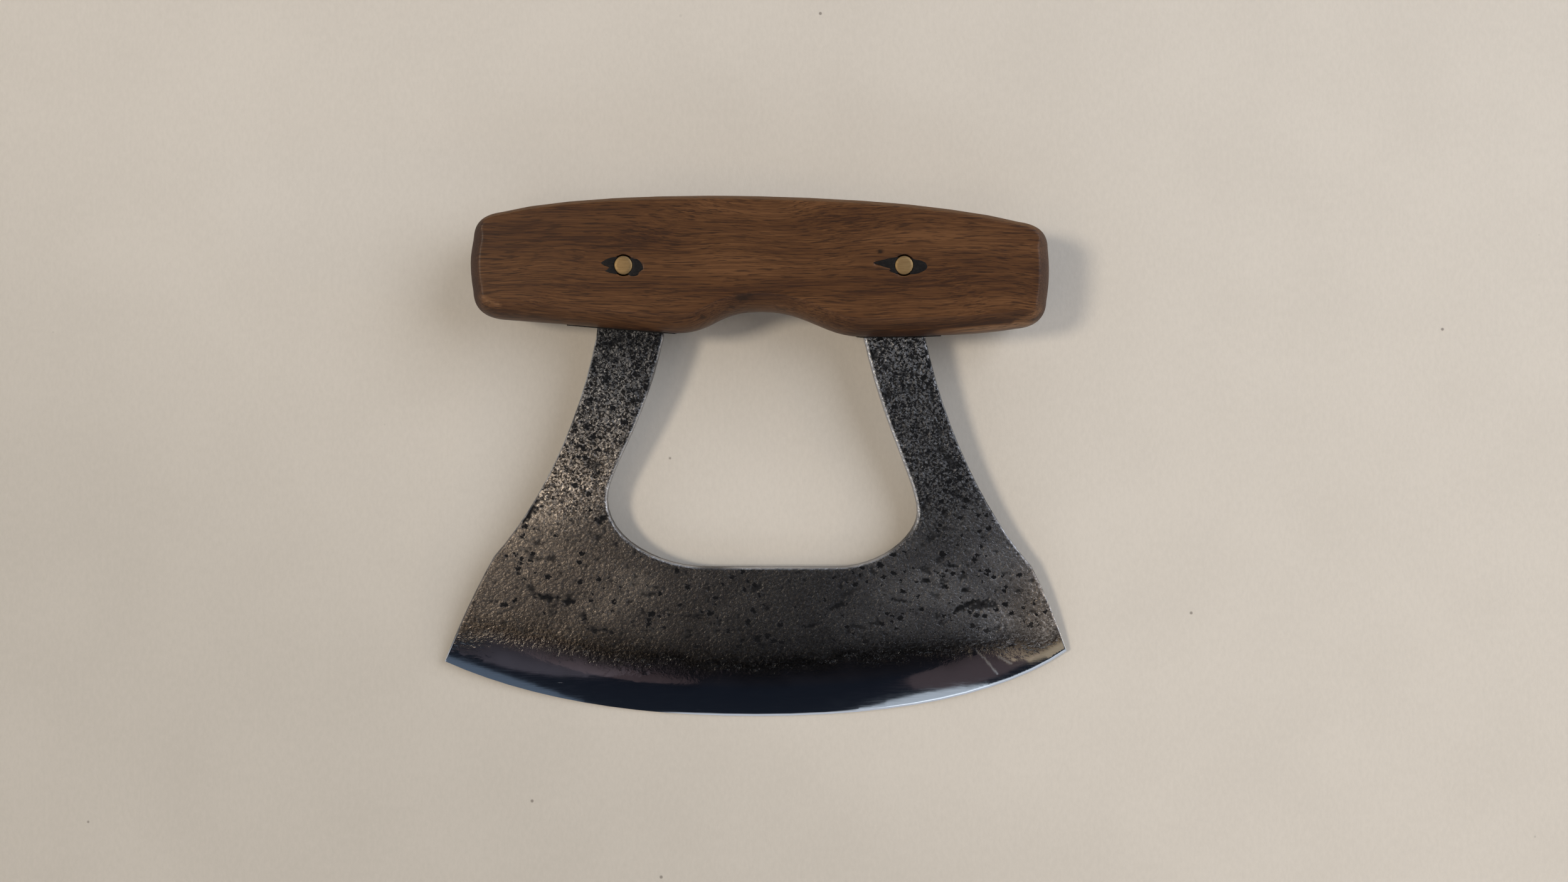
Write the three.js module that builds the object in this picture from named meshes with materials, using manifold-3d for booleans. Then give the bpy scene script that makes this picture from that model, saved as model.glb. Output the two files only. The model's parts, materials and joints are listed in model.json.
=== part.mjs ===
// Hand-forged ulu knife: a crescent blade on two forged legs, glued and pinned into a one-piece wooden grip.
//
// The knife is drawn in its own plane: X runs across the blade, Y from the cutting edge up to the grip and Z through
// the thickness, with the lowest point of the edge at the origin. The finished knife is then laid on its back as it
// lies on a table: the edge and the back of the grip touch the table, and Z points up from it. Millimetres.
import * as THREE from "three";
import { mergeVertices } from "three/addons/utils/BufferGeometryUtils.js";
import Module from "manifold-3d";

// Steel
const BLADE_SPAN = 171; // tip to tip
const LEG_THICKNESS = 4.2;
const BELLY_THICKNESS = 2.4; // the forged taper, carried down to the edge line
const TAPER_START = 62; // height above the edge where the taper begins
const EDGE_ROUND = 0.8; // filed rounding of the outline
const FLANK_BOW = 0.5; // outward bow of each flank between tip and shoulder
const SHOULDER_LEAN = 0.9; // sideways run per rise, just above the shoulder
const LEG_LEAN = 0.215; // sideways run per rise, where a leg enters the grip
const SHOULDER_PULL = 14; // how far those two leans carry into the curve of the flank
const LEG_PULL = 24;
const WINDOW_FLOOR = 42; // height of the steel under the finger window
const WAIST_PULL = 8; // upright stretch above the widest place of the window
const TANG_TIP_WIDTH = 13;

// Convex grind of the cutting edge
const EDGE_THICKNESS = 0.24;
const EDGE_ANGLE = 9; // degrees on each side, at the very edge
const GRIND_RADIUS = 130;
const GRIND_REACH = 24; // the grinding wheel's contact, wider than the ground band

// Grip
const SEAT = 104.5; // height of the grip's underside above the edge
const GRIP_LENGTH = 151;
const GRIP_OFFSET = 1.55; // the grip sits a little right of the blade's middle
const GRIP_HEIGHT = 36.7; // underside to crown
const GRIP_THICKNESS = 25;
const CROWN_PULL = 28; // how far the top stays high towards each end
const CORNER_RUN = 8.5; // length of each rounded corner, along the grip
const CORNER_RISE = 7; // and up its end
const END_BULGE = 0.5;
const SCALLOP_X = 1.7; // finger scallop in the underside
const SCALLOP_DEPTH = 6.5;
const SCALLOP_CROWN = 12.5; // half of the scallop's level top
const SCALLOP_FOOT = 10; // soft run-out at each end of it
const ROUND_DEPTH = 9; // the rounded-over sides, measured through the thickness
const ROUND_INSET_TOP = 1.5; // and across the face
const ROUND_INSET_END = 4;
const ROUND_INSET_FOOT = 5;
const ROUND_TURN = 45; // share of a quarter ellipse that the rounding takes, in degrees, so that a crest is left

// Joints between the pieces
const GLUE_LINE = 0.3; // clearance between neighbouring solids
const EPOXY_BED = 1.4; // thickness of the epoxy around each tang
const MORTISE_ROOF = 8; // wood left between a mortise and the crown
const PIN_DIAMETER = 4.76;
const PIN_HEIGHT = 18.4; // pin axis above the grip's underside
const PIN_CHAMFER = 0.3;
const CHIP_DEPTH = 1.5; // chipped wood on both sides of each pin's bore, filled with epoxy
const CHIP_RISE = 1.9; // half of the right-hand chip's height, where it meets the pin
const CHIP_DROP = 0.4; // it lies a little low
const TAIL_RISE = 1.5; // half of the left-hand chip's height
const TAIL_LIFT = 0.5; // it lies a little high

// What differs between the two sides; distances from the middle, and heights above the edge or the underside
const LEFT = {
  side: -1,
  tipRise: 15.6,
  bellyRun: 52, // level stretch of the edge's control line
  shoulderX: 71,
  shoulderY: 45,
  legX: 33.2,
  legWidth: 17.8,
  pinX: 33.1,
  windowReach: 40,
  windowReachY: 60.5,
  cornerDrop: 10.5,
  floorRun: 12,
  floorPull: 15,
  mortiseOuter: 7.5, // mortise beyond the leg
  mortiseInner: 3.5,
  scallopReach: 22.2,
  footLift: 0.9, // underside beside the scallop and at the corner
  cornerLift: 4.4,
  endTop: 31.9, // height of the end's top corner
  crownLift: 2.5, // height of the crown's control line over the crown
  chipTail: 5.2, // reach of the filled chips from the pin's middle: a pointed tail to the left, a round head to the right
  chipHead: 4.8,
};
const RIGHT = {
  side: 1,
  tipRise: 18.5,
  bellyRun: 60,
  shoulderX: 75,
  shoulderY: 42.5,
  legX: 37.2,
  legWidth: 16.4,
  pinX: 38.4,
  windowReach: 43.9,
  windowReachY: 57,
  cornerDrop: 6.5,
  floorRun: 22,
  floorPull: 12,
  mortiseOuter: 4,
  mortiseInner: 2,
  scallopReach: 26.5,
  footLift: 0,
  cornerLift: 2,
  endTop: 29.4,
  crownLift: 0.5,
  chipTail: 7.4,
  chipHead: 5.4,
};
const SIDES = { left: LEFT, right: RIGHT };

// Facets and curves
const CURVE_STEPS = 12;
const EDGE_STEPS = 40;
const GRIND_STEPS = 8;
const ROUND_STEPS = 8;
const PIN_STEPS = 40;
const LEAN_PASSES = 6; // enough for the lie to settle
const CHIP_FULLNESS = 0.75; // a cubic curve reaches this share of its control points' height

const MATERIALS = {
  steel: new THREE.MeshStandardMaterial({ color: 0x3f3d3b, roughness: 0.45, metalness: 0.9 }),
  wood: new THREE.MeshStandardMaterial({ color: 0x5b3a22, roughness: 0.5, metalness: 0 }),
  brass: new THREE.MeshStandardMaterial({ color: 0xa88c58, roughness: 0.35, metalness: 1 }),
  epoxy: new THREE.MeshStandardMaterial({ color: 0x14110f, roughness: 0.3, metalness: 0 }),
};

const wasm = await Module();
wasm.setup();

// A closed three.js geometry as a solid that can be joined and cut.
function solid(geometry) {
  const bare = geometry.clone();
  bare.deleteAttribute("normal");
  bare.deleteAttribute("uv");
  const merged = mergeVertices(bare, 1e-4);
  return new wasm.Manifold(
    new wasm.Mesh({
      numProp: 3,
      vertProperties: new Float32Array(merged.attributes.position.array),
      triVerts: new Uint32Array(merged.index.array),
    }),
  );
}

// A solid as a flat-shaded three.js mesh.
function piece(name, body, material) {
  const { vertProperties, triVerts } = body.getMesh();
  const geometry = new THREE.BufferGeometry();
  geometry.setAttribute("position", new THREE.BufferAttribute(new Float32Array(vertProperties), 3));
  geometry.setIndex(new THREE.BufferAttribute(new Uint32Array(triVerts), 1));
  const flat = geometry.toNonIndexed();
  flat.computeVertexNormals();
  const mesh = new THREE.Mesh(flat, material);
  mesh.name = name;
  return mesh;
}

// Skins a stack of rings, each anticlockwise about the way the stack runs; cap is the ring's flat outline.
function loft(rings, cap) {
  const count = cap.length;
  const index = [];
  for (let k = 0; k + 1 < rings.length; k++) {
    for (let i = 0; i < count; i++) {
      const a = k * count + i;
      const b = k * count + ((i + 1) % count);
      index.push(a, b, b + count, a, b + count, a + count);
    }
  }
  const last = (rings.length - 1) * count;
  for (const [a, b, c] of THREE.ShapeUtils.triangulateShape(cap, [])) {
    index.push(c, b, a, last + a, last + b, last + c);
  }
  const geometry = new THREE.BufferGeometry().setFromPoints(rings.flat());
  geometry.setIndex(index);
  return geometry;
}

// A flat outline given thickness, centred on Z = 0, with its rims rounded inwards.
function plate(outline, thickness, round = 0) {
  const geometry = new THREE.ExtrudeGeometry(outline, {
    depth: thickness - 2 * round,
    curveSegments: CURVE_STEPS,
    bevelEnabled: round > 0,
    bevelThickness: round,
    bevelSize: round,
    bevelOffset: -round,
    bevelSegments: 2,
  });
  return geometry.translate(0, 0, round - thickness / 2);
}

// The points that the outline of one half of the steel is drawn through.
function steelPoints(s) {
  const at = (x, y) => new THREE.Vector2(s.side * x, y);
  const tip = at(BLADE_SPAN / 2, s.tipRise);
  const shoulder = at(s.shoulderX, s.shoulderY);
  const outward = shoulder.clone().sub(tip).normalize();
  const bow = new THREE.Vector2(s.side * outward.y, -s.side * outward.x).multiplyScalar(2 * FLANK_BOW);
  const outer = s.legX + s.legWidth / 2;
  const inner = s.legX - s.legWidth / 2;
  return {
    tip,
    shoulder,
    flank: tip.clone().add(shoulder).multiplyScalar(0.5).add(bow),
    shoulderPull: at(s.shoulderX - SHOULDER_LEAN * SHOULDER_PULL, s.shoulderY + SHOULDER_PULL),
    outerPull: at(outer + LEG_LEAN * LEG_PULL, SEAT - LEG_PULL),
    outer: at(outer, SEAT),
    inner: at(inner, SEAT),
    innerPull: at(inner + LEG_LEAN * LEG_PULL, SEAT - LEG_PULL),
    waistPull: at(s.windowReach, s.windowReachY + WAIST_PULL),
    waist: at(s.windowReach, s.windowReachY),
    cornerPull: at(s.windowReach, s.windowReachY - s.cornerDrop),
    floorPull: at(s.floorRun + s.floorPull, WINDOW_FLOOR),
    floor: at(s.floorRun, WINDOW_FLOOR),
  };
}

// Outline of a tang above the grip's underside: it narrows to a half-round end.
const tangRadius = TANG_TIP_WIDTH / 2;
const tangTop = SEAT + GRIP_HEIGHT - MORTISE_ROOF - EPOXY_BED;
const tangCentreY = tangTop - tangRadius;

function addTang(outline, s) {
  const x = s.side * s.legX;
  outline.lineTo(x + tangRadius, tangCentreY);
  outline.absarc(x, tangCentreY, tangRadius, 0, Math.PI, false);
}

// The cutting edge, from the left tip through the belly to the right tip.
function edgeCurve() {
  const belly = new THREE.Vector2(0, 0);
  const path = new THREE.CurvePath();
  const half = (s) => [new THREE.Vector2(s.side * s.bellyRun, 0), steelPoints(s).tip];
  const [leftPull, leftTip] = half(LEFT);
  const [rightPull, rightTip] = half(RIGHT);
  path.add(new THREE.QuadraticBezierCurve(leftTip, leftPull, belly));
  path.add(new THREE.QuadraticBezierCurve(belly, rightPull, rightTip));
  return path;
}

// Blade, legs and tangs in one outline, open at the top between the tangs.
function steelOutline() {
  const l = steelPoints(LEFT);
  const r = steelPoints(RIGHT);
  const curve = (...points) => points.flatMap((p) => [p.x, p.y]);
  const outline = new THREE.Shape();
  outline.moveTo(l.tip.x, l.tip.y);
  outline.quadraticCurveTo(-LEFT.bellyRun, 0, 0, 0);
  outline.quadraticCurveTo(RIGHT.bellyRun, 0, r.tip.x, r.tip.y);
  outline.quadraticCurveTo(...curve(r.flank, r.shoulder));
  outline.bezierCurveTo(...curve(r.shoulderPull, r.outerPull, r.outer));
  addTang(outline, RIGHT);
  outline.lineTo(r.inner.x, r.inner.y);
  outline.bezierCurveTo(...curve(r.innerPull, r.waistPull, r.waist));
  outline.bezierCurveTo(...curve(r.cornerPull, r.floorPull, r.floor));
  outline.lineTo(l.floor.x, l.floor.y);
  outline.bezierCurveTo(...curve(l.floorPull, l.cornerPull, l.waist));
  outline.bezierCurveTo(...curve(l.waistPull, l.innerPull, l.inner));
  addTang(outline, LEFT);
  outline.lineTo(l.outer.x, l.outer.y);
  outline.bezierCurveTo(...curve(l.outerPull, l.shoulderPull, l.shoulder));
  outline.quadraticCurveTo(...curve(l.flank, l.tip));
  return outline;
}

// The forged section, seen from the side: level in the legs, then thinning to the edge line.
function forgedTaper() {
  const below = -BLADE_SPAN;
  const above = 2 * SEAT;
  const slope = (LEG_THICKNESS - BELLY_THICKNESS) / 2 / TAPER_START;
  const thin = BELLY_THICKNESS / 2 + slope * (below / 8);
  const thick = LEG_THICKNESS / 2;
  const section = new THREE.Shape([
    new THREE.Vector2(below / 8, -thin),
    new THREE.Vector2(TAPER_START, -thick),
    new THREE.Vector2(above, -thick),
    new THREE.Vector2(above, thick),
    new THREE.Vector2(TAPER_START, thick),
    new THREE.Vector2(below / 8, thin),
  ]);
  const length = 2 * BLADE_SPAN;
  const along = new THREE.Matrix4().makeBasis(
    new THREE.Vector3(0, 1, 0),
    new THREE.Vector3(0, 0, 1),
    new THREE.Vector3(1, 0, 0),
  );
  const geometry = new THREE.ExtrudeGeometry(section, { depth: length, bevelEnabled: false });
  return geometry.translate(0, 0, -length / 2).applyMatrix4(along);
}

// What the grinder takes off one face: a convex arc swept along the edge. face is 1 in front and -1 behind.
function grind(face) {
  const start = THREE.MathUtils.degToRad(EDGE_ANGLE);
  const clear = LEG_THICKNESS;
  const section = [new THREE.Vector2(-clear, EDGE_THICKNESS / 2)];
  for (let k = 0; k <= GRIND_STEPS; k++) {
    const run = (GRIND_REACH * k) / GRIND_STEPS;
    const angle = Math.asin(Math.sin(start) - run / GRIND_RADIUS);
    const rise = GRIND_RADIUS * (Math.cos(angle) - Math.cos(start));
    section.push(new THREE.Vector2(run, EDGE_THICKNESS / 2 + rise));
  }
  section.push(new THREE.Vector2(GRIND_REACH, 2 * clear), new THREE.Vector2(-clear, 2 * clear));
  const cap = section.map((p) => new THREE.Vector2(p.x, face * p.y));
  if (face < 0) cap.reverse();
  const edge = edgeCurve();
  const ring = (point, tangent) =>
    cap.map((p) => new THREE.Vector3(point.x - tangent.y * p.x, point.y + tangent.x * p.x, p.y));
  const rings = [];
  for (let k = 0; k <= EDGE_STEPS; k++) {
    const u = k / EDGE_STEPS;
    const tangent = edge.getTangentAt(u);
    const point = edge.getPointAt(u);
    const beyond = u === 0 ? -clear : u === 1 ? clear : 0;
    rings.push(ring(point.addScaledVector(tangent, beyond), tangent));
  }
  return loft(rings, cap);
}

// Outline of the grip, seen from the front.
function gripOutline() {
  const end = (s) => GRIP_OFFSET + (s.side * GRIP_LENGTH) / 2;
  const crown = SEAT + GRIP_HEIGHT;
  const corner = (s) => {
    const x = end(s);
    const inward = x - s.side * CORNER_RUN;
    const foot = SEAT + s.cornerLift;
    const top = SEAT + s.endTop;
    return {
      footRun: [inward, foot],
      foot: [x - s.side * END_BULGE, foot + END_BULGE],
      footRise: [x - s.side * END_BULGE, foot + CORNER_RISE + END_BULGE],
      bulge: [x + s.side * END_BULGE, (foot + top) / 2],
      topRise: [x - s.side * END_BULGE, top - CORNER_RISE + END_BULGE],
      top: [x - s.side * END_BULGE, top - END_BULGE],
      topRun: [inward, top + END_BULGE],
      pull: [inward - s.side * CROWN_PULL, crown + s.crownLift],
    };
  };
  const l = corner(LEFT);
  const r = corner(RIGHT);
  const scallop = (s, reach, y) => [SCALLOP_X + s.side * reach, SEAT + y];
  const outline = new THREE.Shape();
  outline.moveTo(...l.footRun);
  outline.lineTo(...scallop(LEFT, LEFT.scallopReach, LEFT.footLift));
  outline.bezierCurveTo(
    ...scallop(LEFT, LEFT.scallopReach - SCALLOP_FOOT, LEFT.footLift),
    ...scallop(LEFT, SCALLOP_CROWN, SCALLOP_DEPTH),
    ...scallop(LEFT, 0, SCALLOP_DEPTH),
  );
  outline.bezierCurveTo(
    ...scallop(RIGHT, SCALLOP_CROWN, SCALLOP_DEPTH),
    ...scallop(RIGHT, RIGHT.scallopReach - SCALLOP_FOOT, RIGHT.footLift),
    ...scallop(RIGHT, RIGHT.scallopReach, RIGHT.footLift),
  );
  outline.quadraticCurveTo((RIGHT.legX + end(RIGHT)) / 2, SEAT + RIGHT.footLift, ...r.footRun);
  outline.quadraticCurveTo(...r.foot, ...r.footRise);
  outline.quadraticCurveTo(...r.bulge, ...r.topRise);
  outline.quadraticCurveTo(...r.top, ...r.topRun);
  outline.bezierCurveTo(...r.pull, ...l.pull, ...l.topRun);
  outline.quadraticCurveTo(...l.top, ...l.topRise);
  outline.quadraticCurveTo(...l.bulge, ...l.footRise);
  outline.quadraticCurveTo(...l.foot, ...l.footRun);
  return outline;
}

// The grip before it is mortised: its outline, rounded over towards both faces up to a crest.
function gripBody() {
  const points = gripOutline().getPoints(CURVE_STEPS);
  points.pop();
  const count = points.length;
  const inward = points.map((p, i) => {
    const along = points[(i + 1) % count].clone().sub(points[(i + count - 1) % count]).normalize();
    return new THREE.Vector2(-along.y, along.x);
  });
  const inset = inward.map((n) => {
    const across = n.y < 0 ? ROUND_INSET_TOP : ROUND_INSET_FOOT;
    return ROUND_INSET_END * n.x * n.x + across * n.y * n.y;
  });
  const full = THREE.MathUtils.degToRad(ROUND_TURN);
  const rings = [];
  for (const face of [-1, 1]) {
    for (let k = 0; k <= ROUND_STEPS; k++) {
      const turn = full * (face < 0 ? 1 - k / ROUND_STEPS : k / ROUND_STEPS);
      const z = face * (GRIP_THICKNESS / 2 - ROUND_DEPTH * (1 - Math.sin(turn) / Math.sin(full)));
      const share = (1 - Math.cos(turn)) / (1 - Math.cos(full));
      rings.push(
        points.map((p, i) => {
          const q = p.clone().addScaledVector(inward[i], inset[i] * share);
          return new THREE.Vector3(q.x, q.y, z);
        }),
      );
    }
  }
  const face = rings.at(-1).map((p) => new THREE.Vector2(p.x, p.y));
  return loft(rings, face);
}

// A round bar through the thickness at one side's pin, centred on Z = 0.
function pinBar(s, radius, length) {
  const bar = new THREE.CylinderGeometry(radius, radius, length, PIN_STEPS);
  return bar.rotateX(Math.PI / 2).translate(s.side * s.pinX, SEAT + PIN_HEIGHT, 0);
}

// The slot for one tang, shrunk by a clearance; it opens well below the underside.
function mortise(s, clearance) {
  const low = (s.side > 0 ? s.mortiseInner : s.mortiseOuter) - clearance;
  const high = (s.side > 0 ? s.mortiseOuter : s.mortiseInner) - clearance;
  const from = s.side * s.legX - s.legWidth / 2 - low;
  const to = s.side * s.legX + s.legWidth / 2 + high;
  const roof = tangTop + EPOXY_BED - clearance;
  const below = SEAT - GRIP_HEIGHT;
  const shape = new THREE.Shape();
  shape.moveTo(from, below);
  shape.lineTo(to, below);
  shape.lineTo(to, roof - tangRadius);
  shape.quadraticCurveTo(to, roof, to - tangRadius, roof);
  shape.lineTo(from + tangRadius, roof);
  shape.quadraticCurveTo(from, roof, from, roof - tangRadius);
  return plate(shape, LEG_THICKNESS + 2 * (EPOXY_BED - clearance));
}

// The two chips that broke out of the front face beside one pin bore, drawn out along the grain and shrunk by a
// clearance.
function chips(s, clearance) {
  const tail = s.chipTail - 2 * clearance;
  const head = (s.chipHead - clearance) / CHIP_FULLNESS;
  const rise = CHIP_RISE - clearance;
  const slim = TAIL_RISE - clearance;
  const pointed = new THREE.Shape();
  pointed.moveTo(0, TAIL_LIFT + slim);
  pointed.quadraticCurveTo(-tail / 2, TAIL_LIFT + slim, -tail, TAIL_LIFT);
  pointed.quadraticCurveTo(-tail / 2, TAIL_LIFT - slim, 0, TAIL_LIFT - slim);
  const round = new THREE.Shape();
  round.moveTo(0, -CHIP_DROP - rise);
  round.bezierCurveTo(head, -CHIP_DROP - rise, head, rise - CHIP_DROP, 0, rise - CHIP_DROP);
  const depth = CHIP_DEPTH - clearance;
  const open = clearance > 0 ? 0 : CHIP_DEPTH;
  const middle = GRIP_THICKNESS / 2 + (open - depth) / 2;
  const place = (outline) => plate(outline, depth + open).translate(s.side * s.pinX, SEAT + PIN_HEIGHT, middle);
  return { tail: solid(place(pointed)), head: solid(place(round)) };
}

// A turned pin with lightly chamfered ends, flush with both faces of the grip.
function pin(s) {
  const radius = PIN_DIAMETER / 2;
  const half = GRIP_THICKNESS / 2;
  const profile = [
    new THREE.Vector2(0, -half),
    new THREE.Vector2(radius - PIN_CHAMFER, -half),
    new THREE.Vector2(radius, PIN_CHAMFER - half),
    new THREE.Vector2(radius, half - PIN_CHAMFER),
    new THREE.Vector2(radius - PIN_CHAMFER, half),
    new THREE.Vector2(0, half),
  ];
  const turned = new THREE.LatheGeometry(profile, PIN_STEPS).rotateX(Math.PI / 2);
  return turned.translate(s.side * s.pinX, SEAT + PIN_HEIGHT, 0);
}

const through = 2 * GRIP_THICKNESS;
const boreRadius = PIN_DIAMETER / 2 + GLUE_LINE;
const bores = Object.values(SIDES).map((s) => solid(pinBar(s, boreRadius, through)));
const cutAll = (body, cutters) => cutters.reduce((rest, cutter) => rest.subtract(cutter), body);

const forged = solid(plate(steelOutline(), LEG_THICKNESS, EDGE_ROUND)).intersect(solid(forgedTaper()));
const steel = cutAll(forged, [solid(grind(1)), solid(grind(-1)), ...bores]);

const block = solid(gripBody());
const sockets = Object.values(SIDES).flatMap((s) => [solid(mortise(s, 0)), ...Object.values(chips(s, 0))]);
const grip = cutAll(block, [...sockets, ...bores]);

const pieces = [piece("blade", steel, MATERIALS.steel), piece("handle", grip, MATERIALS.wood)];
const tangRoom = solid(plate(steelOutline(), LEG_THICKNESS + 2 * GLUE_LINE));
for (const [name, s] of Object.entries(SIDES)) {
  const bed = cutAll(block.intersect(solid(mortise(s, GLUE_LINE))), [tangRoom, ...bores]);
  const { tail, head } = chips(s, GLUE_LINE);
  pieces.push(
    piece(`${name}_pin`, solid(pin(s)), MATERIALS.brass),
    piece(`${name}_epoxy_bed`, bed, MATERIALS.epoxy),
    piece(`${name}_pin_fill`, cutAll(head, bores), MATERIALS.epoxy),
    piece(`${name}_pin_tail_fill`, cutAll(tail, bores), MATERIALS.epoxy),
  );
}

// The lie of the knife on a table: it leans back until the grip touches down as well as the ground edge.
const [bladePoints, gripPoints] = pieces.slice(0, 2).map((mesh) => {
  const { array, count } = mesh.geometry.attributes.position;
  return Array.from({ length: count }, (_, i) => new THREE.Vector3().fromArray(array, 3 * i));
});
let lean = 0;
for (let pass = 0; pass < LEAN_PASSES; pass++) {
  const height = (p) => p.y * Math.sin(lean) + p.z * Math.cos(lean);
  const touch = bladePoints.reduce((low, p) => (height(p) < height(low) ? p : low));
  lean = gripPoints.reduce((most, p) => Math.max(most, Math.atan2(touch.z - p.z, p.y - touch.y)), 0);
}

const knife = new THREE.Group();
knife.add(...pieces);
knife.rotation.x = lean;
const box = new THREE.Box3().setFromObject(knife, true);
const middle = box.getCenter(new THREE.Vector3());
knife.position.set(-middle.x, -middle.y, -box.min.z);

const ulu = new THREE.Group();
ulu.add(knife);
export default ulu;
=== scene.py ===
"""A hand-forged ulu knife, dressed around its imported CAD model.

The knife lies on its back on a pale table, leaning on its ground edge and on the back of its grip. Shapes
are worked out in the knife's own plane, in millimetres: u runs across the blade, v from the cutting edge up
to the grip and w through the thickness. They are then laid into the row frame, in metres.
"""

import json
import logging
import math
from contextlib import contextmanager
from dataclasses import dataclass, field
from enum import Enum
from typing import Iterator

import bpy
import numpy as np
from mathutils import Matrix, Vector
from mathutils.geometry import delaunay_2d_cdt
from mathutils.kdtree import KDTree

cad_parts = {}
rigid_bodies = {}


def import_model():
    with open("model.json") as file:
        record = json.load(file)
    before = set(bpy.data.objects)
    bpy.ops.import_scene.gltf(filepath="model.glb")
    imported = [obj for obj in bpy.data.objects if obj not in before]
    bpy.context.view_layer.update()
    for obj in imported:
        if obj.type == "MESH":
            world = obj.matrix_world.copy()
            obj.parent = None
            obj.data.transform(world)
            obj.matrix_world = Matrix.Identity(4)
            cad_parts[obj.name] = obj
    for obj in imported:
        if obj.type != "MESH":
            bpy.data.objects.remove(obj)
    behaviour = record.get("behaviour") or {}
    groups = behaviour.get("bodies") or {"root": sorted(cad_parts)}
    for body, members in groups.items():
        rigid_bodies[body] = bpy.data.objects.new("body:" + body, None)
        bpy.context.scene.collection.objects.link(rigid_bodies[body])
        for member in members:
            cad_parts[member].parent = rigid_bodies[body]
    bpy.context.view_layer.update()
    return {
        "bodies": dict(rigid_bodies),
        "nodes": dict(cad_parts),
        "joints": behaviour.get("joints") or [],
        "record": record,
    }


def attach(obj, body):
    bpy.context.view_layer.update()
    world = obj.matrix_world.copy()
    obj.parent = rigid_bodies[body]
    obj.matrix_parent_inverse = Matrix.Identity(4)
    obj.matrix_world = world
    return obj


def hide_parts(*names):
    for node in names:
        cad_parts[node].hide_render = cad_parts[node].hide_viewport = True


log = logging.getLogger("ulu")

Triple = tuple[float, float, float]
Colour = Triple
Table = tuple[tuple[float, ...], ...]
Socket = bpy.types.NodeSocket
Piece = bpy.types.Object
Material = bpy.types.Material
Array = np.ndarray


class Slot(Enum):
    """The record's material slots."""

    STEEL = "forged_steel"
    WOOD = "walnut"
    BRASS = "brass"
    EPOXY = "epoxy"


class Face(Enum):
    """The two faces of the blade."""

    FRONT = 1
    BACK = -1


class Side(Enum):
    """The two legs of the knife, each with its pin."""

    LEFT = "left"
    RIGHT = "right"


def ease(low: float | Array, high: float | Array, value: Array) -> Array:
    """Rises smoothly from 0 where the value is low to 1 where it is high; high may be the smaller."""
    t = np.clip((value - low) / (high - low), 0.0, 1.0)
    return t * t * (3.0 - 2.0 * t)


def select_only(piece: Piece) -> None:
    """Selects one object and makes it active.

    Args:
        piece: The object.
    """
    bpy.ops.object.select_all(action="DESELECT")
    piece.select_set(True)
    bpy.context.view_layer.objects.active = piece


@contextmanager
def editing(piece: Piece) -> Iterator[None]:
    """Opens a mesh object for editing, with all of it selected.

    Args:
        piece: The object.
    """
    select_only(piece)
    bpy.ops.object.mode_set(mode="EDIT")
    bpy.ops.mesh.select_all(action="SELECT")
    yield
    bpy.ops.object.mode_set(mode="OBJECT")


def added(name: str, data: bpy.types.ID) -> Piece:
    """Adds an object to the scene.

    Args:
        name: Its name.
        data: Its mesh, lamp or camera.

    Returns:
        The object.
    """
    made = bpy.data.objects.new(name, data)
    bpy.context.scene.collection.objects.link(made)
    return made


def merged_copy(node: Piece, name: str) -> Piece:
    """Copies a CAD node into a new object with its loose triangles joined.

    Args:
        node: The CAD node, which stays as it is.
        name: The copy's name.

    Returns:
        The copy, at the origin and with no material.
    """
    copy = added(name, node.data.copy())
    copy.data.name = name
    copy.data.materials.clear()
    with editing(copy):
        bpy.ops.mesh.remove_doubles(threshold=2e-6)
    if copy.data.has_custom_normals:
        bpy.ops.mesh.customdata_custom_splitnormals_clear()
    return copy


def new_piece(name: str, points: Array, faces: list[list[int]], place: Matrix) -> Piece:
    """Makes a mesh object.

    Args:
        name: Its name.
        points: Its points, as rows of three numbers.
        faces: The points of each of its faces.
        place: Takes the points to the row frame.

    Returns:
        The object, with no material.
    """
    mesh = bpy.data.meshes.new(name)
    mesh.from_pydata(points.tolist(), [], faces)
    mesh.transform(place)
    return added(name, mesh)


def points_of(piece: Piece, entries: str = "vertices", key: str = "co") -> Array:
    """Reads three numbers for each vertex of a mesh object.

    Args:
        piece: The object.
        entries: The mesh's list that is read.
        key: What is read from its entries.

    Returns:
        Rows of three numbers, the vertices' places if not told otherwise.
    """
    flat = np.zeros(3 * len(piece.data.vertices), np.float32)
    getattr(piece.data, entries).foreach_get(key, flat)
    return flat.reshape(-1, 3).astype(float)


def put_points(piece: Piece, points: Array) -> None:
    """Moves a mesh object's vertices to new places."""
    piece.data.vertices.foreach_set("co", points.astype(np.float32).ravel())
    piece.data.update()


def mark(piece: Piece, name: str, values: Array) -> None:
    """Stores one number for each vertex under a name that the finishes read."""
    layer = piece.data.attributes.new(name, "FLOAT", "POINT")
    layer.data.foreach_set("value", values.astype(np.float32))


def hand_over(piece: Piece, finish: Material, nodes: list[str], crease: float = 180.0) -> None:
    """Dresses a shaped piece and rides it on the knife in place of its CAD nodes.

    Args:
        piece: The shaped piece.
        finish: Its material.
        nodes: The CAD nodes that the piece stands for.
        crease: Folds above this many degrees are shaded sharp.
    """
    select_only(piece)
    bpy.ops.object.shade_smooth_by_angle(angle=math.radians(crease))
    piece.data.materials.append(finish)
    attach(piece, "root")
    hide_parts(*nodes)
    log.info("%s: %d faces, for %s", piece.name, len(piece.data.polygons), ", ".join(nodes))


@dataclass(frozen=True)
class Curve:
    """A number that runs straight from knot to knot and stays level beyond them."""

    knots: tuple[float, ...]
    values: tuple[float, ...]

    def of(self, where: Array) -> Array:
        """The number at each place."""
        return np.interp(where, self.knots, self.values)


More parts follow.
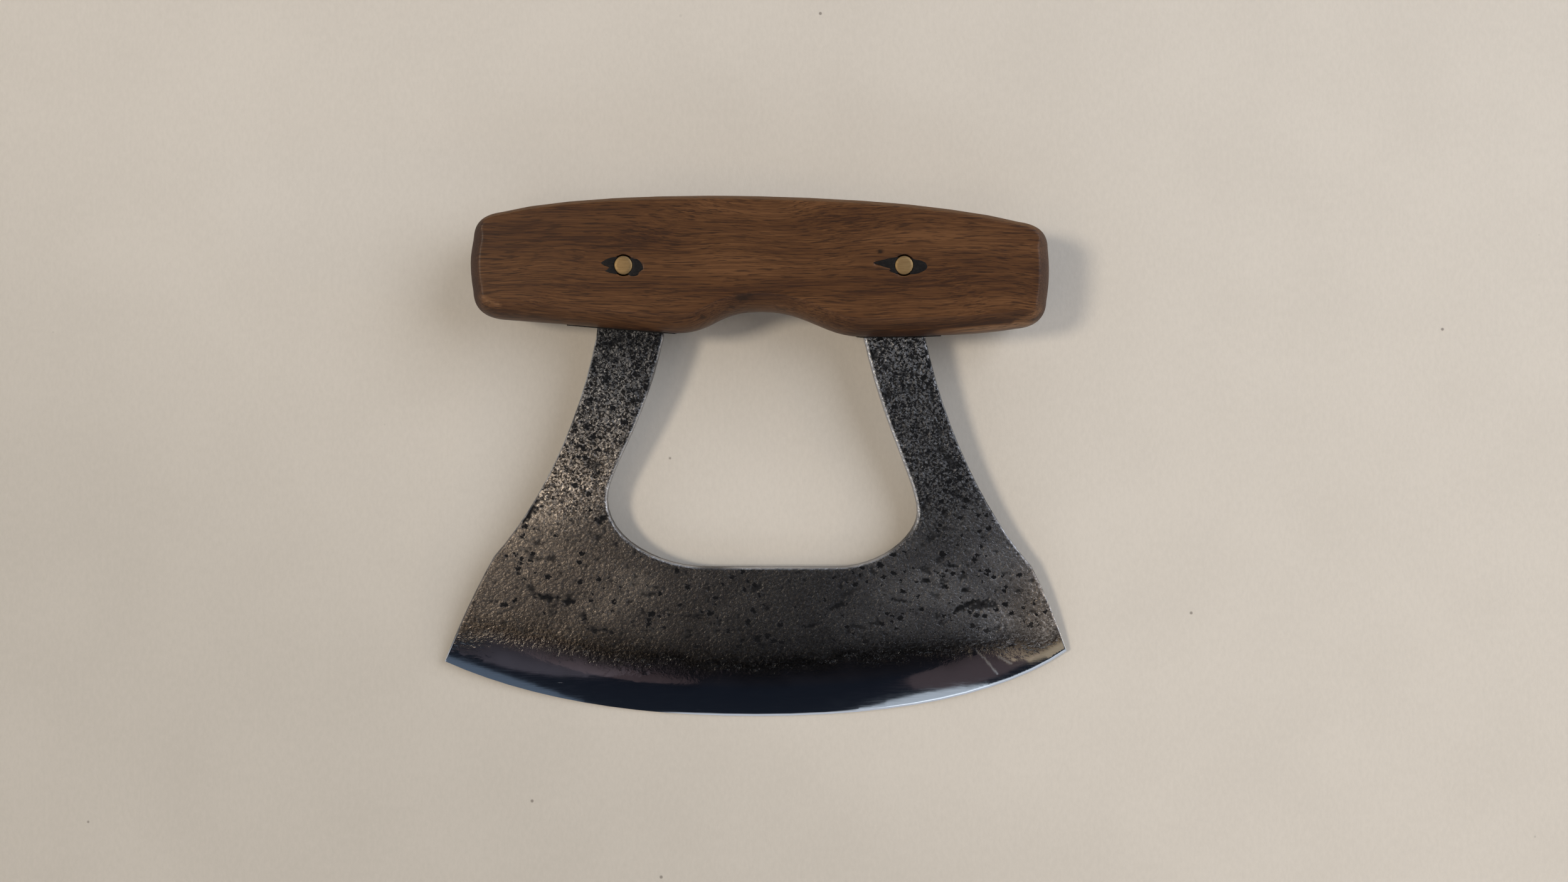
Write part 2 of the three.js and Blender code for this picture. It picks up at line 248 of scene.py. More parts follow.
class Mottle:
    """Seeded smooth noise over a plane, from 0 to 1."""

    SIZE = 256

    def __init__(self, seed: int) -> None:
        """Draws the lattice, the same one each time for the same seed."""
        self.lattice = np.random.default_rng(seed).random((self.SIZE, self.SIZE))

    def at(self, u: Array, v: Array, span: float) -> Array:
        """Noise at points of the plane.

        Args:
            u: First coordinates.
            v: Second coordinates.
            span: Distance between the lattice's knots.

        Returns:
            One number from 0 to 1 for each point.
        """
        x, y = u / span + 97.3, v / span + 41.7
        i, j = np.floor(x).astype(int), np.floor(y).astype(int)
        fx, fy = ease(0.0, 1.0, x - i), ease(0.0, 1.0, y - j)
        i0, i1, j0, j1 = i % self.SIZE, (i + 1) % self.SIZE, j % self.SIZE, (j + 1) % self.SIZE
        low = self.lattice[i0, j0] * (1 - fx) + self.lattice[i1, j0] * fx
        high = self.lattice[i0, j1] * (1 - fx) + self.lattice[i1, j1] * fx
        return low * (1 - fy) + high * fy

    def rough(self, u: Array, v: Array, span: float) -> Array:
        """Three layers of noise, each half as wide and half as strong as the last."""
        total = self.at(u, v, span) + 0.5 * self.at(v, u, span / 2) + 0.25 * self.at(u, v, span / 4)
        return total / 1.75


class Line:
    """A run of points in the knife's plane that distances are measured from."""

    def __init__(self, points: Array | Table) -> None:
        """Keeps the points in a tree for quick search.

        Args:
            points: The run's points, in order.
        """
        self.points = np.array(points)
        self.tree = KDTree(len(points))
        for k, p in enumerate(points):
            self.tree.insert((p[0], p[1], 0.0), k)
        self.tree.balance()

    def distance(self, where: Array) -> Array:
        """How far points of the plane lie from the run.

        Args:
            where: The points, as rows of two numbers.

        Returns:
            One distance for each point.
        """
        near = np.array([self.tree.find((p[0], p[1], 0.0))[1] for p in where])
        last = len(self.points) - 1
        best = np.full(len(where), np.inf)
        for start, end in ((np.maximum(near - 1, 0), near), (near, np.minimum(near + 1, last))):
            a, b = self.points[start], self.points[end]
            along = b - a
            length = np.maximum((along**2).sum(1), 1e-12)
            t = np.clip(((where - a) * along).sum(1) / length, 0.0, 1.0)
            best = np.minimum(best, np.linalg.norm(where - a - t[:, None] * along, axis=1))
        return best


@dataclass(frozen=True)
class Lie:
    """How the knife lies: its own plane in millimetres against the row frame in metres."""

    to_row: Matrix
    to_knife: Matrix

    @classmethod
    def of_frame(cls, frame: dict) -> "Lie":
        """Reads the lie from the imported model.

        Args:
            frame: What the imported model's loading returned.

        Returns:
            The lie of the knife.
        """
        back = next(m for m in frame["record"]["mounts"] if m["name"] == "grip_back")
        turn = Matrix.Rotation(math.atan2(back["axis"][1], -back["axis"][2]), 4, "X")
        flat = np.array(turn.to_3x3().inverted())
        blade = points_of(frame["nodes"]["blade"]) @ flat.T
        grip = points_of(frame["nodes"]["handle"]) @ flat.T
        middle = (grip[:, 2].min() + grip[:, 2].max()) / 2
        shift = Matrix.Translation((0.0, blade[:, 1].min(), middle))
        to_row = turn @ shift @ Matrix.Scale(0.001, 4)
        return cls(to_row, to_row.inverted())

    def section(self, node: Piece, height: float) -> list[Array]:
        """Cuts a copy of a CAD node level with the knife's plane.

        Args:
            node: The CAD node.
            height: The cut's place through the thickness, in millimetres.

        Returns:
            The cut's closed loops of points (u, v), the longest first.
        """
        copy = merged_copy(node, "section")
        copy.data.transform(self.to_knife)
        with editing(copy):
            level = {"plane_co": (0, 0, height), "plane_no": (0, 0, 1)}
            bpy.ops.mesh.bisect(**level, clear_inner=True, clear_outer=True)
        beside: dict[int, list[int]] = {}
        for edge in copy.data.edges:
            a, b = edge.vertices
            beside.setdefault(a, []).append(b)
            beside.setdefault(b, []).append(a)
        points = points_of(copy)[:, :2]
        bpy.data.objects.remove(copy)
        loops = []
        while beside:
            at = next(iter(beside))
            loop = []
            while at is not None:
                loop.append(at)
                onward = [k for k in beside.pop(at) if k in beside]
                at = onward[0] if onward else None
            loops.append(points[loop])
        span = [np.linalg.norm(np.diff(loop, axis=0), axis=1).sum() for loop in loops]
        return [loops[k] for k in np.argsort(span)[::-1]]


def signed_area(loop: Array) -> float:
    """The area inside a closed loop, positive where it runs anticlockwise."""
    u, v = loop.T
    return float((u * np.roll(v, -1) - np.roll(u, -1) * v).sum() / 2)


def flowing(loop: Array, step: float, corner: float = 28.0) -> Array:
    """Redraws a closed polygon as a smooth line through its points, sharp only at real corners.

    Args:
        loop: The polygon's points.
        step: The longest distance between the new points.
        corner: Turns above this many degrees stay sharp.

    Returns:
        The new points, in the same order.
    """
    ahead = np.roll(loop, -1, 0) - loop
    length = np.linalg.norm(ahead, axis=1)
    unit = ahead / length[:, None]
    behind = np.roll(unit, 1, 0)
    turn = np.degrees(np.arccos(np.clip((unit * behind).sum(1), -1.0, 1.0)))
    across = np.roll(loop, -1, 0) - np.roll(loop, 1, 0)
    tangent = across / np.linalg.norm(across, axis=1)[:, None]
    sharp = turn > corner
    out = []
    for k in range(len(loop)):
        n = (k + 1) % len(loop)
        start = unit[k] if sharp[k] else tangent[k]
        end = unit[k] if sharp[n] else tangent[n]
        count = max(1, math.ceil(length[k] / step))
        t = (np.arange(count) / count)[:, None]
        out.append(
            (2 * t**3 - 3 * t**2 + 1) * loop[k]
            + (t**3 - 2 * t**2 + t) * length[k] * start
            + (3 * t**2 - 2 * t**3) * loop[n]
            + (t**3 - t**2) * length[k] * end
        )
    return np.vstack(out)


def inside(loop: Array, where: Array) -> Array:
    """Which points of the plane lie inside a closed loop.

    Args:
        loop: The loop's points.
        where: The points to test.

    Returns:
        One truth value for each point.
    """
    found = np.zeros(len(where), bool)
    u, v = where.T
    for (au, av), (bu, bv) in zip(loop, np.roll(loop, -1, 0)):
        if av != bv:
            crosses = (av > v) != (bv > v)
            found ^= crosses & (u < (bu - au) * (v - av) / (bv - av) + au)
    return found


def even_spread(low: Array, high: Array, gap: float) -> Array:
    """Points spread evenly over a box of the plane, in staggered rows.

    Args:
        low: The box's lower corner.
        high: Its upper corner.
        gap: Distance between the points.

    Returns:
        The points, as rows of two numbers.
    """
    rows = np.arange(low[1], high[1], gap * math.sqrt(0.75))
    v, u = np.meshgrid(rows, np.arange(low[0], high[0], gap), indexing="ij")
    u = u + (np.arange(len(rows)) % 2)[:, None] * gap / 2
    return np.stack([u.ravel(), v.ravel()], 1)


def triangles(loops: list[Array], points: Array) -> Array:
    """Spreads triangles over the inside of closed loops.

    Args:
        loops: The outline, then the outlines of its openings.
        points: All points, those of the loops first and in order.

    Returns:
        Three corners for each triangle, anticlockwise.
    """
    edges, start = [], 0
    for loop in loops:
        count = len(loop)
        edges += [(start + k, start + (k + 1) % count) for k in range(count)]
        start += count
    made = delaunay_2d_cdt([Vector(p) for p in points], edges, [], 1, 1e-7)
    if len(made[0]) != len(points) or any(origin[0] != k for k, origin in enumerate(made[3])):
        raise RuntimeError("points of a sheet were merged or moved")
    corners = np.array(made[2])
    a, b, c = (points[corners[:, k]] for k in range(3))
    turned = np.cross(b - a, c - a) < 0
    corners[turned] = corners[turned][:, ::-1]
    keep = np.ones(len(corners), bool)
    for opening in loops[1:]:
        keep &= ~inside(opening, (a + b + c) / 3)
    return corners[keep]


class Finish:
    """A material's nodes, built up one at a time around one Principled shader."""

    def __init__(self, name: str) -> None:
        """Starts a material.

        Args:
            name: The material's name.
        """
        self.material = bpy.data.materials.new(name)
        self.material.use_nodes = True
        self.tree = self.material.node_tree
        self.shader = self.tree.nodes["Principled BSDF"]
        self.place = self.wire("TexCoord", {}, "Object")

    def feed(self, socket: Socket, value: object) -> None:
        """Links a socket to another one, or sets its number or colour.

        Args:
            socket: The input.
            value: An output socket, a number, or a colour or vector of three numbers.
        """
        if isinstance(value, Socket):
            self.tree.links.new(value, socket)
        elif socket.type == "RGBA":
            socket.default_value = (*value, 1.0)
        else:
            socket.default_value = value

    def wire(self, kind: str, inputs: dict, output: str | int = 0, **settings: object) -> Socket:
        """Adds a node and feeds it.

        Args:
            kind: The node's type.
            inputs: What goes into its sockets, by their names or numbers.
            output: The name or number of the socket that is wanted.
            settings: The node's own settings.

        Returns:
            That socket.
        """
        made = self.tree.nodes.new("ShaderNode" + kind)
        for key, value in settings.items():
            setattr(made, key, value)
        for key, value in inputs.items():
            self.feed(made.inputs[key], value)
        return made.outputs[output]

    def set(self, **inputs: object) -> None:
        """Feeds the shader's own inputs, named in lower case with underscores."""
        for key, value in inputs.items():
            self.feed(self.shader.inputs[key.replace("_", " ").title().replace("Ior", "IOR")], value)

    def spread(self, scale: Triple, turn: float = 0.0, place: Socket | None = None) -> dict:
        """How a pattern lies on the object.

        Args:
            scale: Its repeats per millimetre along each axis.
            turn: Its turn in the table's plane, in degrees.
            place: Coordinates to start from, if not the object's own.

        Returns:
            What goes into the pattern's node.
        """
        size = tuple(1000.0 * s for s in scale)
        inputs = {"Vector": place or self.place, "Rotation": (0.0, 0.0, math.radians(turn)), "Scale": size}
        return {"Vector": self.wire("Mapping", inputs), "Scale": 1.0}

    def noise(self, *lie: object, detail: float = 2.0, rough: float = 0.5, warp: float = 0.0) -> Socket:
        """Smooth noise, spread with the scale, turn and place given first."""
        grain = {"Detail": detail, "Roughness": rough, "Distortion": warp}
        return self.wire("TexNoise", self.spread(*lie) | grain, "Fac")

    def cells(self, *lie: object) -> tuple[Socket, Socket]:
        """The distance to the nearest of scattered points, and a random number of that point's own."""
        apart = self.wire("TexVoronoi", self.spread(*lie), "Distance")
        return apart, self.wire("SeparateColor", {0: apart.node.outputs["Color"]})

    def pushed(self, push: Socket, reach: Triple) -> Socket:
        """Object coordinates that are pushed about by a noise, as far as reach along each axis."""
        return self.wire("VectorMath", {0: push, 1: reach, 2: self.place}, operation="MULTIPLY_ADD")

    def marked(self, name: str) -> Socket:
        """A number that the piece stores for each vertex."""
        return self.wire("Attribute", {}, "Fac", attribute_name=name)

    def range(self, value: Socket, low: float, high: float, to_low: float = 0, to_high: float = 1) -> Socket:
        """Eases a value from one range to another and stays inside it."""
        inputs = dict(enumerate((value, low, high, to_low, to_high)))
        return self.wire("MapRange", inputs, "Result", interpolation_type="SMOOTHSTEP")

    def math(self, operation: str, first: object, second: object) -> Socket:
        """One sum on two numbers or sockets."""
        return self.wire("Math", {0: first, 1: second}, operation=operation)

    def blend(self, share: object, first: object, second: object, how: str = "MIX") -> Socket:
        """Mixes two colours."""
        return self.wire("Mix", {0: share, 6: first, 7: second}, 2, data_type="RGBA", blend_type=how)

    def mix(self, share: object, first: object, second: object) -> Socket:
        """Mixes two numbers."""
        return self.wire("Mix", {0: share, 2: first, 3: second}, data_type="FLOAT")

    def bump(self, height: Socket, depth: float, strength: object) -> None:
        """Roughens the shading, on top of any bump set before.

        Args:
            height: The relief.
            depth: How deep it is, in millimetres.
            strength: How much of it shows.
        """
        normal = self.shader.inputs["Normal"]
        inputs = {"Distance": depth / 1000.0, "Strength": strength, "Height": height}
        if normal.links:
            inputs["Normal"] = normal.links[0].from_socket
        self.feed(normal, self.wire("Bump", inputs))


@dataclass(frozen=True)
class ForgedSteel:
    """Forge-blackened, pitted steel that is ground bright towards the edge."""

    # Near-black oxide, which is also the colour that the painted shade darkens towards.
    soot: Colour = (0.0105, 0.0105, 0.0115)
    skin: Colour = (0.163, 0.157, 0.157)
    skin_deep: Colour = (0.096, 0.093, 0.096)
    # Golden tint for a painted reflection of lamp light.
    warm_reflection_tint: Colour = (1.0, 0.87, 0.73)
    # Bright metal for rubbing and scuffs, and for painted glints and highlights.
    worn_and_glint: Colour = (0.52, 0.52, 0.535)
    ground: Colour = (0.55, 0.56, 0.58)
    worn_roughness: float = 0.42
    peel_depth: float = 0.40
    grain_depth: float = 0.18
    pit_depth: float = 0.12
    scratch_depth: float = 0.004
    pit_rim: float = 0.56
    pit_rarity: float = 0.55
    ragged_scale: Triple = (1.25, 1.25, 1.25)
    ragged_reach: Triple = (0.0018, 0.0018, 0.0018)

    def pits(self, f: Finish, scale: Triple, turn: float, full: float) -> Socket:
        """Scattered pits with ragged rims, as many as the blade's mark "dense" asks for.

        Args:
            f: The finish.
            scale: Places for a pit per millimetre, along each axis.
            turn: Turn of the pattern, in degrees.
            full: How near to its middle a pit has its full depth.

        Returns:
            A number from 0 outside the pits to 1 inside them.
        """
        push = f.noise(self.ragged_scale).node.outputs["Color"]
        apart, chance = f.cells(scale, turn, f.pushed(push, self.ragged_reach))
        rare = f.math("MULTIPLY", f.math("DIVIDE", chance, f.marked("dense")), self.pit_rarity)
        return f.range(f.math("ADD", apart, rare), self.pit_rim, full)

    def make(self) -> Material:
        """Builds the material.

        Returns:
            Steel that reads the blade's marks: polish, pit, leg, dense, rim, wear, shade and warm.
        """
        f = Finish("forged_steel")
        polish, leg, rim = (f.marked(name) for name in ("polish", "leg", "rim"))
        peel = f.noise((0.95, 1.15, 1.05), 31, warp=0.4)
        grain = f.noise((1.7, 1.7, 1.7), rough=0.6)
        cloud = f.noise((0.07, 0.09, 0.09))
        bits = f.noise((1.4, 1.55, 1.5), 40, detail=3.0, rough=0.62, warp=0.7)
        hole = self.pits(f, (0.46, 0.60, 0.5), 17, 0.42)
        prick = self.pits(f, (1.05, 1.25, 1.1), 52, 0.40)
        hole = f.math("MAXIMUM", hole, f.math("MULTIPLY", prick, f.range(leg, 0.0, 1.0, 0.6, 1.0)))
        raw = f.math("POWER", f.range(polish, 0.0, 0.85, 1.0, 0.0), 2.0)
        sunk = f.math("MAXIMUM", f.math("MULTIPLY", hole, raw), f.marked("pit"))

        colour = f.blend(f.range(cloud, 0.35, 0.68), self.skin_deep, self.skin)
        # Painted shade: the shade mark darkens the skin towards black, as black scale on the legs and as
        # painted shade and dim reflection on the blade.
        colour = f.blend(f.marked("shade"), colour, self.soot)
        # Bright metal through the bits, by rubbing and, at a few spots, as painted glints.
        rub_and_sheen = f.math("MULTIPLY", f.marked("wear_and_glint"), f.range(bits, 0.46, 0.55, 0.0, 0.64))
        colour = f.blend(rub_and_sheen, colour, self.worn_and_glint)
        # Painted reflection: the warm mark tints the skin golden as if it caught lamp light, on the left of
        # the blade and at the right tip.
        colour = f.blend(f.marked("warm_reflection"), colour, self.warm_reflection_tint, "MULTIPLY")
        colour = f.blend(f.math("MULTIPLY", sunk, 0.97), colour, self.soot)
        colour = f.blend(f.range(polish, 0.28, 0.85), colour, self.ground)
        # The rim mark lays bright metal along the rim: scuffs, scratches and a painted highlight on the
        # right leg's inner edge.
        colour = f.blend(rim, colour, self.worn_and_glint)

        scratch = f.noise((0.20, 4.0, 4.0), -30)
        far, kept = f.cells((0.06, 1.4, 1.4), -38)
        stroke = f.math("MULTIPLY", f.range(far, 0.10, 0.03), f.range(kept, 0.45, 0.35, 0.0, 0.25))
        shiny = f.math("ADD", f.range(scratch, 0.35, 0.75, 0.05, 0.09), stroke)
        dull = f.range(f.math("ADD", grain, f.math("MULTIPLY", sunk, 0.4)), 0.3, 0.9, 0.38, 0.60)
        rough = f.mix(rim, f.mix(f.range(polish, 0.0, 0.65), dull, shiny), self.worn_roughness)
        f.set(base_color=colour, metallic=1.0, roughness=rough)

        f.bump(peel, self.peel_depth, f.math("MULTIPLY", raw, f.range(leg, 0.0, 1.0, 0.86, 0.80)))
        f.bump(grain, self.grain_depth, f.math("MULTIPLY", raw, f.range(leg, 0.0, 1.0, 0.58, 0.55)))
        f.bump(f.math("SUBTRACT", 1.0, hole), self.pit_depth, raw)
        f.bump(scratch, self.scratch_depth, f.math("MULTIPLY", polish, 0.4))
        return f.material


@dataclass(frozen=True)
class Walnut:
    """Oiled walnut with its grain along the grip."""

    dark: Colour = (0.042, 0.0180, 0.0090)
    middle: Colour = (0.077, 0.0332, 0.0136)
    light: Colour = (0.122, 0.055, 0.0230)
    pale: Colour = (0.205, 0.105, 0.0500)
    pore: Colour = (0.022, 0.011, 0.007)
    end: Colour = (0.040, 0.024, 0.019)
    sunlit_gold: Colour = (0.135, 0.060, 0.0175)
    heart: Colour = (0.016, 0.009, 0.006)
    fibre_depth: float = 0.05
    pore_depth: float = 0.08
    sway: Triple = (0.0, 0.007, 0.007)

    def make(self) -> Material:
        """Builds the material.

        Returns:
            Wood that reads the grip's marks: end (end grain, darkest on the left end as painted shade),
            crown (a painted sunlit top), tone (random shifts with painted highlights and painted shade) and
            knot.
        """
        f = Finish("walnut")
        place = f.pushed(f.noise((0.022, 0.05, 0.05), detail=1.0), self.sway)
        figure = f.noise((0.009, 0.15, 0.15), 0.0, place, detail=3.0, rough=0.6)
        fibre = f.noise((0.055, 2.3, 2.3), 0.0, place, detail=3.0, rough=0.7)
        pores = f.noise((0.17, 2.9, 2.9), 0.0, place, rough=0.6)
        tone_and_painted_light = f.math("ADD", f.math("MULTIPLY", figure, 0.66), f.math("MULTIPLY", fibre, 0.8))
        tone_and_painted_light = f.math("ADD", f.math("SUBTRACT", tone_and_painted_light, 0.22), f.marked("tone_and_painted_light"))
        colour = f.blend(f.range(tone_and_painted_light, 0.33, 0.50), self.dark, self.middle)
        colour = f.blend(f.range(tone_and_painted_light, 0.49, 0.70), colour, self.light)
        # High values, from painted highlights, reach the palest wood.
        colour = f.blend(f.range(tone_and_painted_light, 0.78, 1.10), colour, self.pale)
        # Painted light: the crown mark turns the grip's upward rounding golden, as if sunlit.
        colour = f.blend(f.marked("crown"), colour, self.sunlit_gold)
        colour = f.blend(f.range(pores, 0.52, 0.64, 0.0, 0.70), colour, self.pore)
        colour = f.blend(f.marked("end"), colour, self.end)
        colour = f.blend(f.marked("knot"), colour, self.heart)
        dull = f.math("ADD", f.marked("end"), f.marked("crown"))
        f.set(
            base_color=colour,
            roughness=f.range(f.math("SUBTRACT", fibre, dull), -0.5, 0.7, 0.70, 0.36),
            specular_ior_level=0.14,
        )
        f.bump(fibre, self.fibre_depth, 0.45)
        f.bump(pores, self.pore_depth, 0.4)
        return f.material


@dataclass(frozen=True)
class SandedBrass:
    """Brass rod sanded flush with the wood."""

    pale: Colour = (0.285, 0.190, 0.091)
    deep: Colour = (0.205, 0.132, 0.060)

    def make(self) -> Material:
        """Builds the material.

        Returns:
            Brass with fine sanding lines along the grip.
        """
        f = Finish("sanded_brass")
        lines = f.noise((0.35, 7.0, 7.0), detail=3.0, rough=0.6)
        cloud = f.noise((0.5, 0.8, 0.8))
        colour = f.blend(f.range(lines, 0.3, 0.7), self.deep, self.pale)
        colour = f.blend(f.range(cloud, 0.35, 0.7, 0.0, 0.4), colour, self.pale)
        f.set(base_color=colour, metallic=1.0, roughness=f.range(lines, 0.3, 0.7, 0.66, 0.54))
        f.bump(lines, 0.02, 0.5)
        return f.material


@dataclass(frozen=True)
class BlackEpoxy:
    """Black epoxy, sanded with the wood where it shows."""

    black: Colour = (0.0065, 0.0058, 0.0058)
    dusty: Colour = (0.016, 0.013, 0.0115)

    def make(self) -> Material:
        """Builds the material.

        Returns:
            Epoxy with a little sanding dust.
        """
        f = Finish("black_epoxy")
        dust = f.noise((1.3, 2.6, 2.6), detail=4.0, rough=0.7)
        f.set(
            base_color=f.blend(f.range(dust, 0.5, 0.72), self.black, self.dusty),
            roughness=f.range(dust, 0.4, 0.7, 0.45, 0.62),
            specular_ior_level=0.12,
        )
        f.bump(dust, 0.05, 0.5)
        return f.material


@dataclass(frozen=True)
class PalePaper:
    """The pale, slightly mottled sheet that the knife lies on."""

    light: Colour = (0.585, 0.529, 0.458)
    dark: Colour = (0.540, 0.487, 0.420)
    fleck: Colour = (0.16, 0.13, 0.11)
    falloff_grey: Colour = (0.70, 0.70, 0.69)
    falloff_direction: Triple = (-6.4, -10.0, 0.0)

    def make(self) -> Material:
        """Builds the material.

        Returns:
            Paper, dimmed towards the lower left by painted shade.
        """
        f = Finish("pale_paper")
        cloud = f.noise((0.03, 0.03, 0.03), detail=3.0)
        tooth = f.noise((0.9, 0.45, 0.6), detail=4.0, rough=0.75)
        mixed = f.math("ADD", f.math("MULTIPLY", cloud, 0.35), f.math("MULTIPLY", tooth, 0.65))
        colour = f.blend(f.range(mixed, 0.3, 0.7), self.dark, self.light)
        # Painted shade: the paper dims towards the lower left, as the light falls off.
        aside = f.wire("VectorMath", {0: f.place, 1: self.falloff_direction}, "Value", operation="DOT_PRODUCT")
        far = f.range(aside, 0.0, 1.6, 0.0, 0.52)
        colour = f.blend(far, colour, self.falloff_grey, "MULTIPLY")
        apart, chance = f.cells((0.075, 0.075, 0.075))
        spot = f.math("MULTIPLY", f.range(apart, 0.045, 0.02), f.range(chance, 0.45, 0.40, 0.0, 0.75))
        f.set(
            base_color=f.blend(spot, colour, self.fleck),
            roughness=0.85,
            specular_ior_level=0.25,
        )
        f.bump(tooth, 0.12, 0.35)
        return f.material


@dataclass(frozen=True)
class Scar:
    """A flake, pit or groove that the forge left in the front of the blade, in millimetres.

    Attributes:
        u: Place across the blade.
        v: Place above the edge.
        length: Its length.
        width: Its width.
        turn: Its direction, in degrees anticlockwise from u.
        depth: How far it goes in.
        soot: How black its floor is, from 0 to 1.
    """

    u: float
    v: float
    length: float
    width: float
    turn: float = 0.0
    depth: float = 0.2
    soot: float = 1.0

    def reach(self, u: Array, v: Array) -> Array:
        """How far points lie from its middle.

        Args:
            u: Their places across the blade.
            v: Their places above the edge.

        Returns:
            0 in the middle and 1 at the rim.
        """
        turn = math.radians(self.turn)
        along = (u - self.u) * math.cos(turn) + (v - self.v) * math.sin(turn)
        aside = (v - self.v) * math.cos(turn) - (u - self.u) * math.sin(turn)
        return np.hypot(2 * along / self.length, 2 * aside / self.width)


SCARS: tuple[Scar, ...] = tuple(Scar(*sizes) for sizes in (
    (-60.6, 57.4, 6.6, 2.2, 52, 0.45),
    (-41.6, 55.3, 2.4, 1.8, 40, 0.30),
    (-58.6, 49.0, 3.4, 1.6, -15, 0.22, 0.8),
    (-56.5, 33.8, 6.5, 1.7, -8, 0.25),
    (-51.0, 32.6, 3.6, 2.0, 10, 0.28),
    (-62.0, 33.4, 7.0, 0.6, 46, 0.16, 0.4),
    (-66.5, 30.6, 6.0, 0.6, 22, 0.14, 0.5),
    (-54.6, 29.6, 1.6, 1.1, 30, 0.20, 0.9),
    (-9.8, 26.6, 1.9, 1.1, 60, 0.2, 0.8),
    (-33.0, 26.0, 1.4, 1.0, 20, 0.16, 0.7),
    (-15.8, 32.6, 1.6, 0.7, -35, 0.14, 0.6),
    (25.4, 35.0, 5.0, 2.0, 12, 0.18, 0.7),
    (28.0, 25.6, 7.5, 1.0, -12, 0.16, 0.7),
    (46.0, 41.6, 3.0, 1.8, -20, 0.2, 0.8),
    (50.0, 44.4, 2.6, 1.6, 25, 0.2, 0.8),
    (56.2, 39.6, 2.4, 1.8, 35, 0.2, 0.8),
    (48.8, 34.2, 2.6, 1.6, 5, 0.18, 0.7),
    (56.0, 30.8, 6.0, 2.0, 32, 0.26),
    (61.4, 31.6, 7.0, 3.4, 12, 0.26, 0.9),
    (71.6, 35.6, 2.2, 1.1, -12, 0.2, 0.9),
    (79.0, 32.4, 1.6, 1.2, 20, 0.2, 0.8),
    (68.4, 25.6, 1.6, 1.2, 10, 0.18, 0.7),
    (35.0, 24.0, 2.2, 1.1, -30, 0.16, 0.7),
    (46.2, 38.4, 2.8, 1.7, 15, 0.24),
    (50.6, 37.4, 2.2, 1.4, -25, 0.22),
    (57.0, 35.8, 2.6, 1.5, 20, 0.22),
    (53.6, 42.6, 2.2, 1.4, -10, 0.22),
    (22.6, 31.4, 4.4, 1.5, 24, 0.22, 0.9),
    (15.2, 26.0, 5.0, 1.1, 14, 0.2, 0.9),
    (39.6, 33.0, 4.2, 1.0, -8, 0.2, 0.9),
    (65.6, 25.2, 3.0, 1.4, 18, 0.2, 0.8),
))


SCRATCHES: tuple[Line, ...] = (
    Line(((60.4, 19.0), (63.0, 16.4), (66.5, 12.1))),
    Line(((66.5, 17.3), (70.2, 15.1))),
)


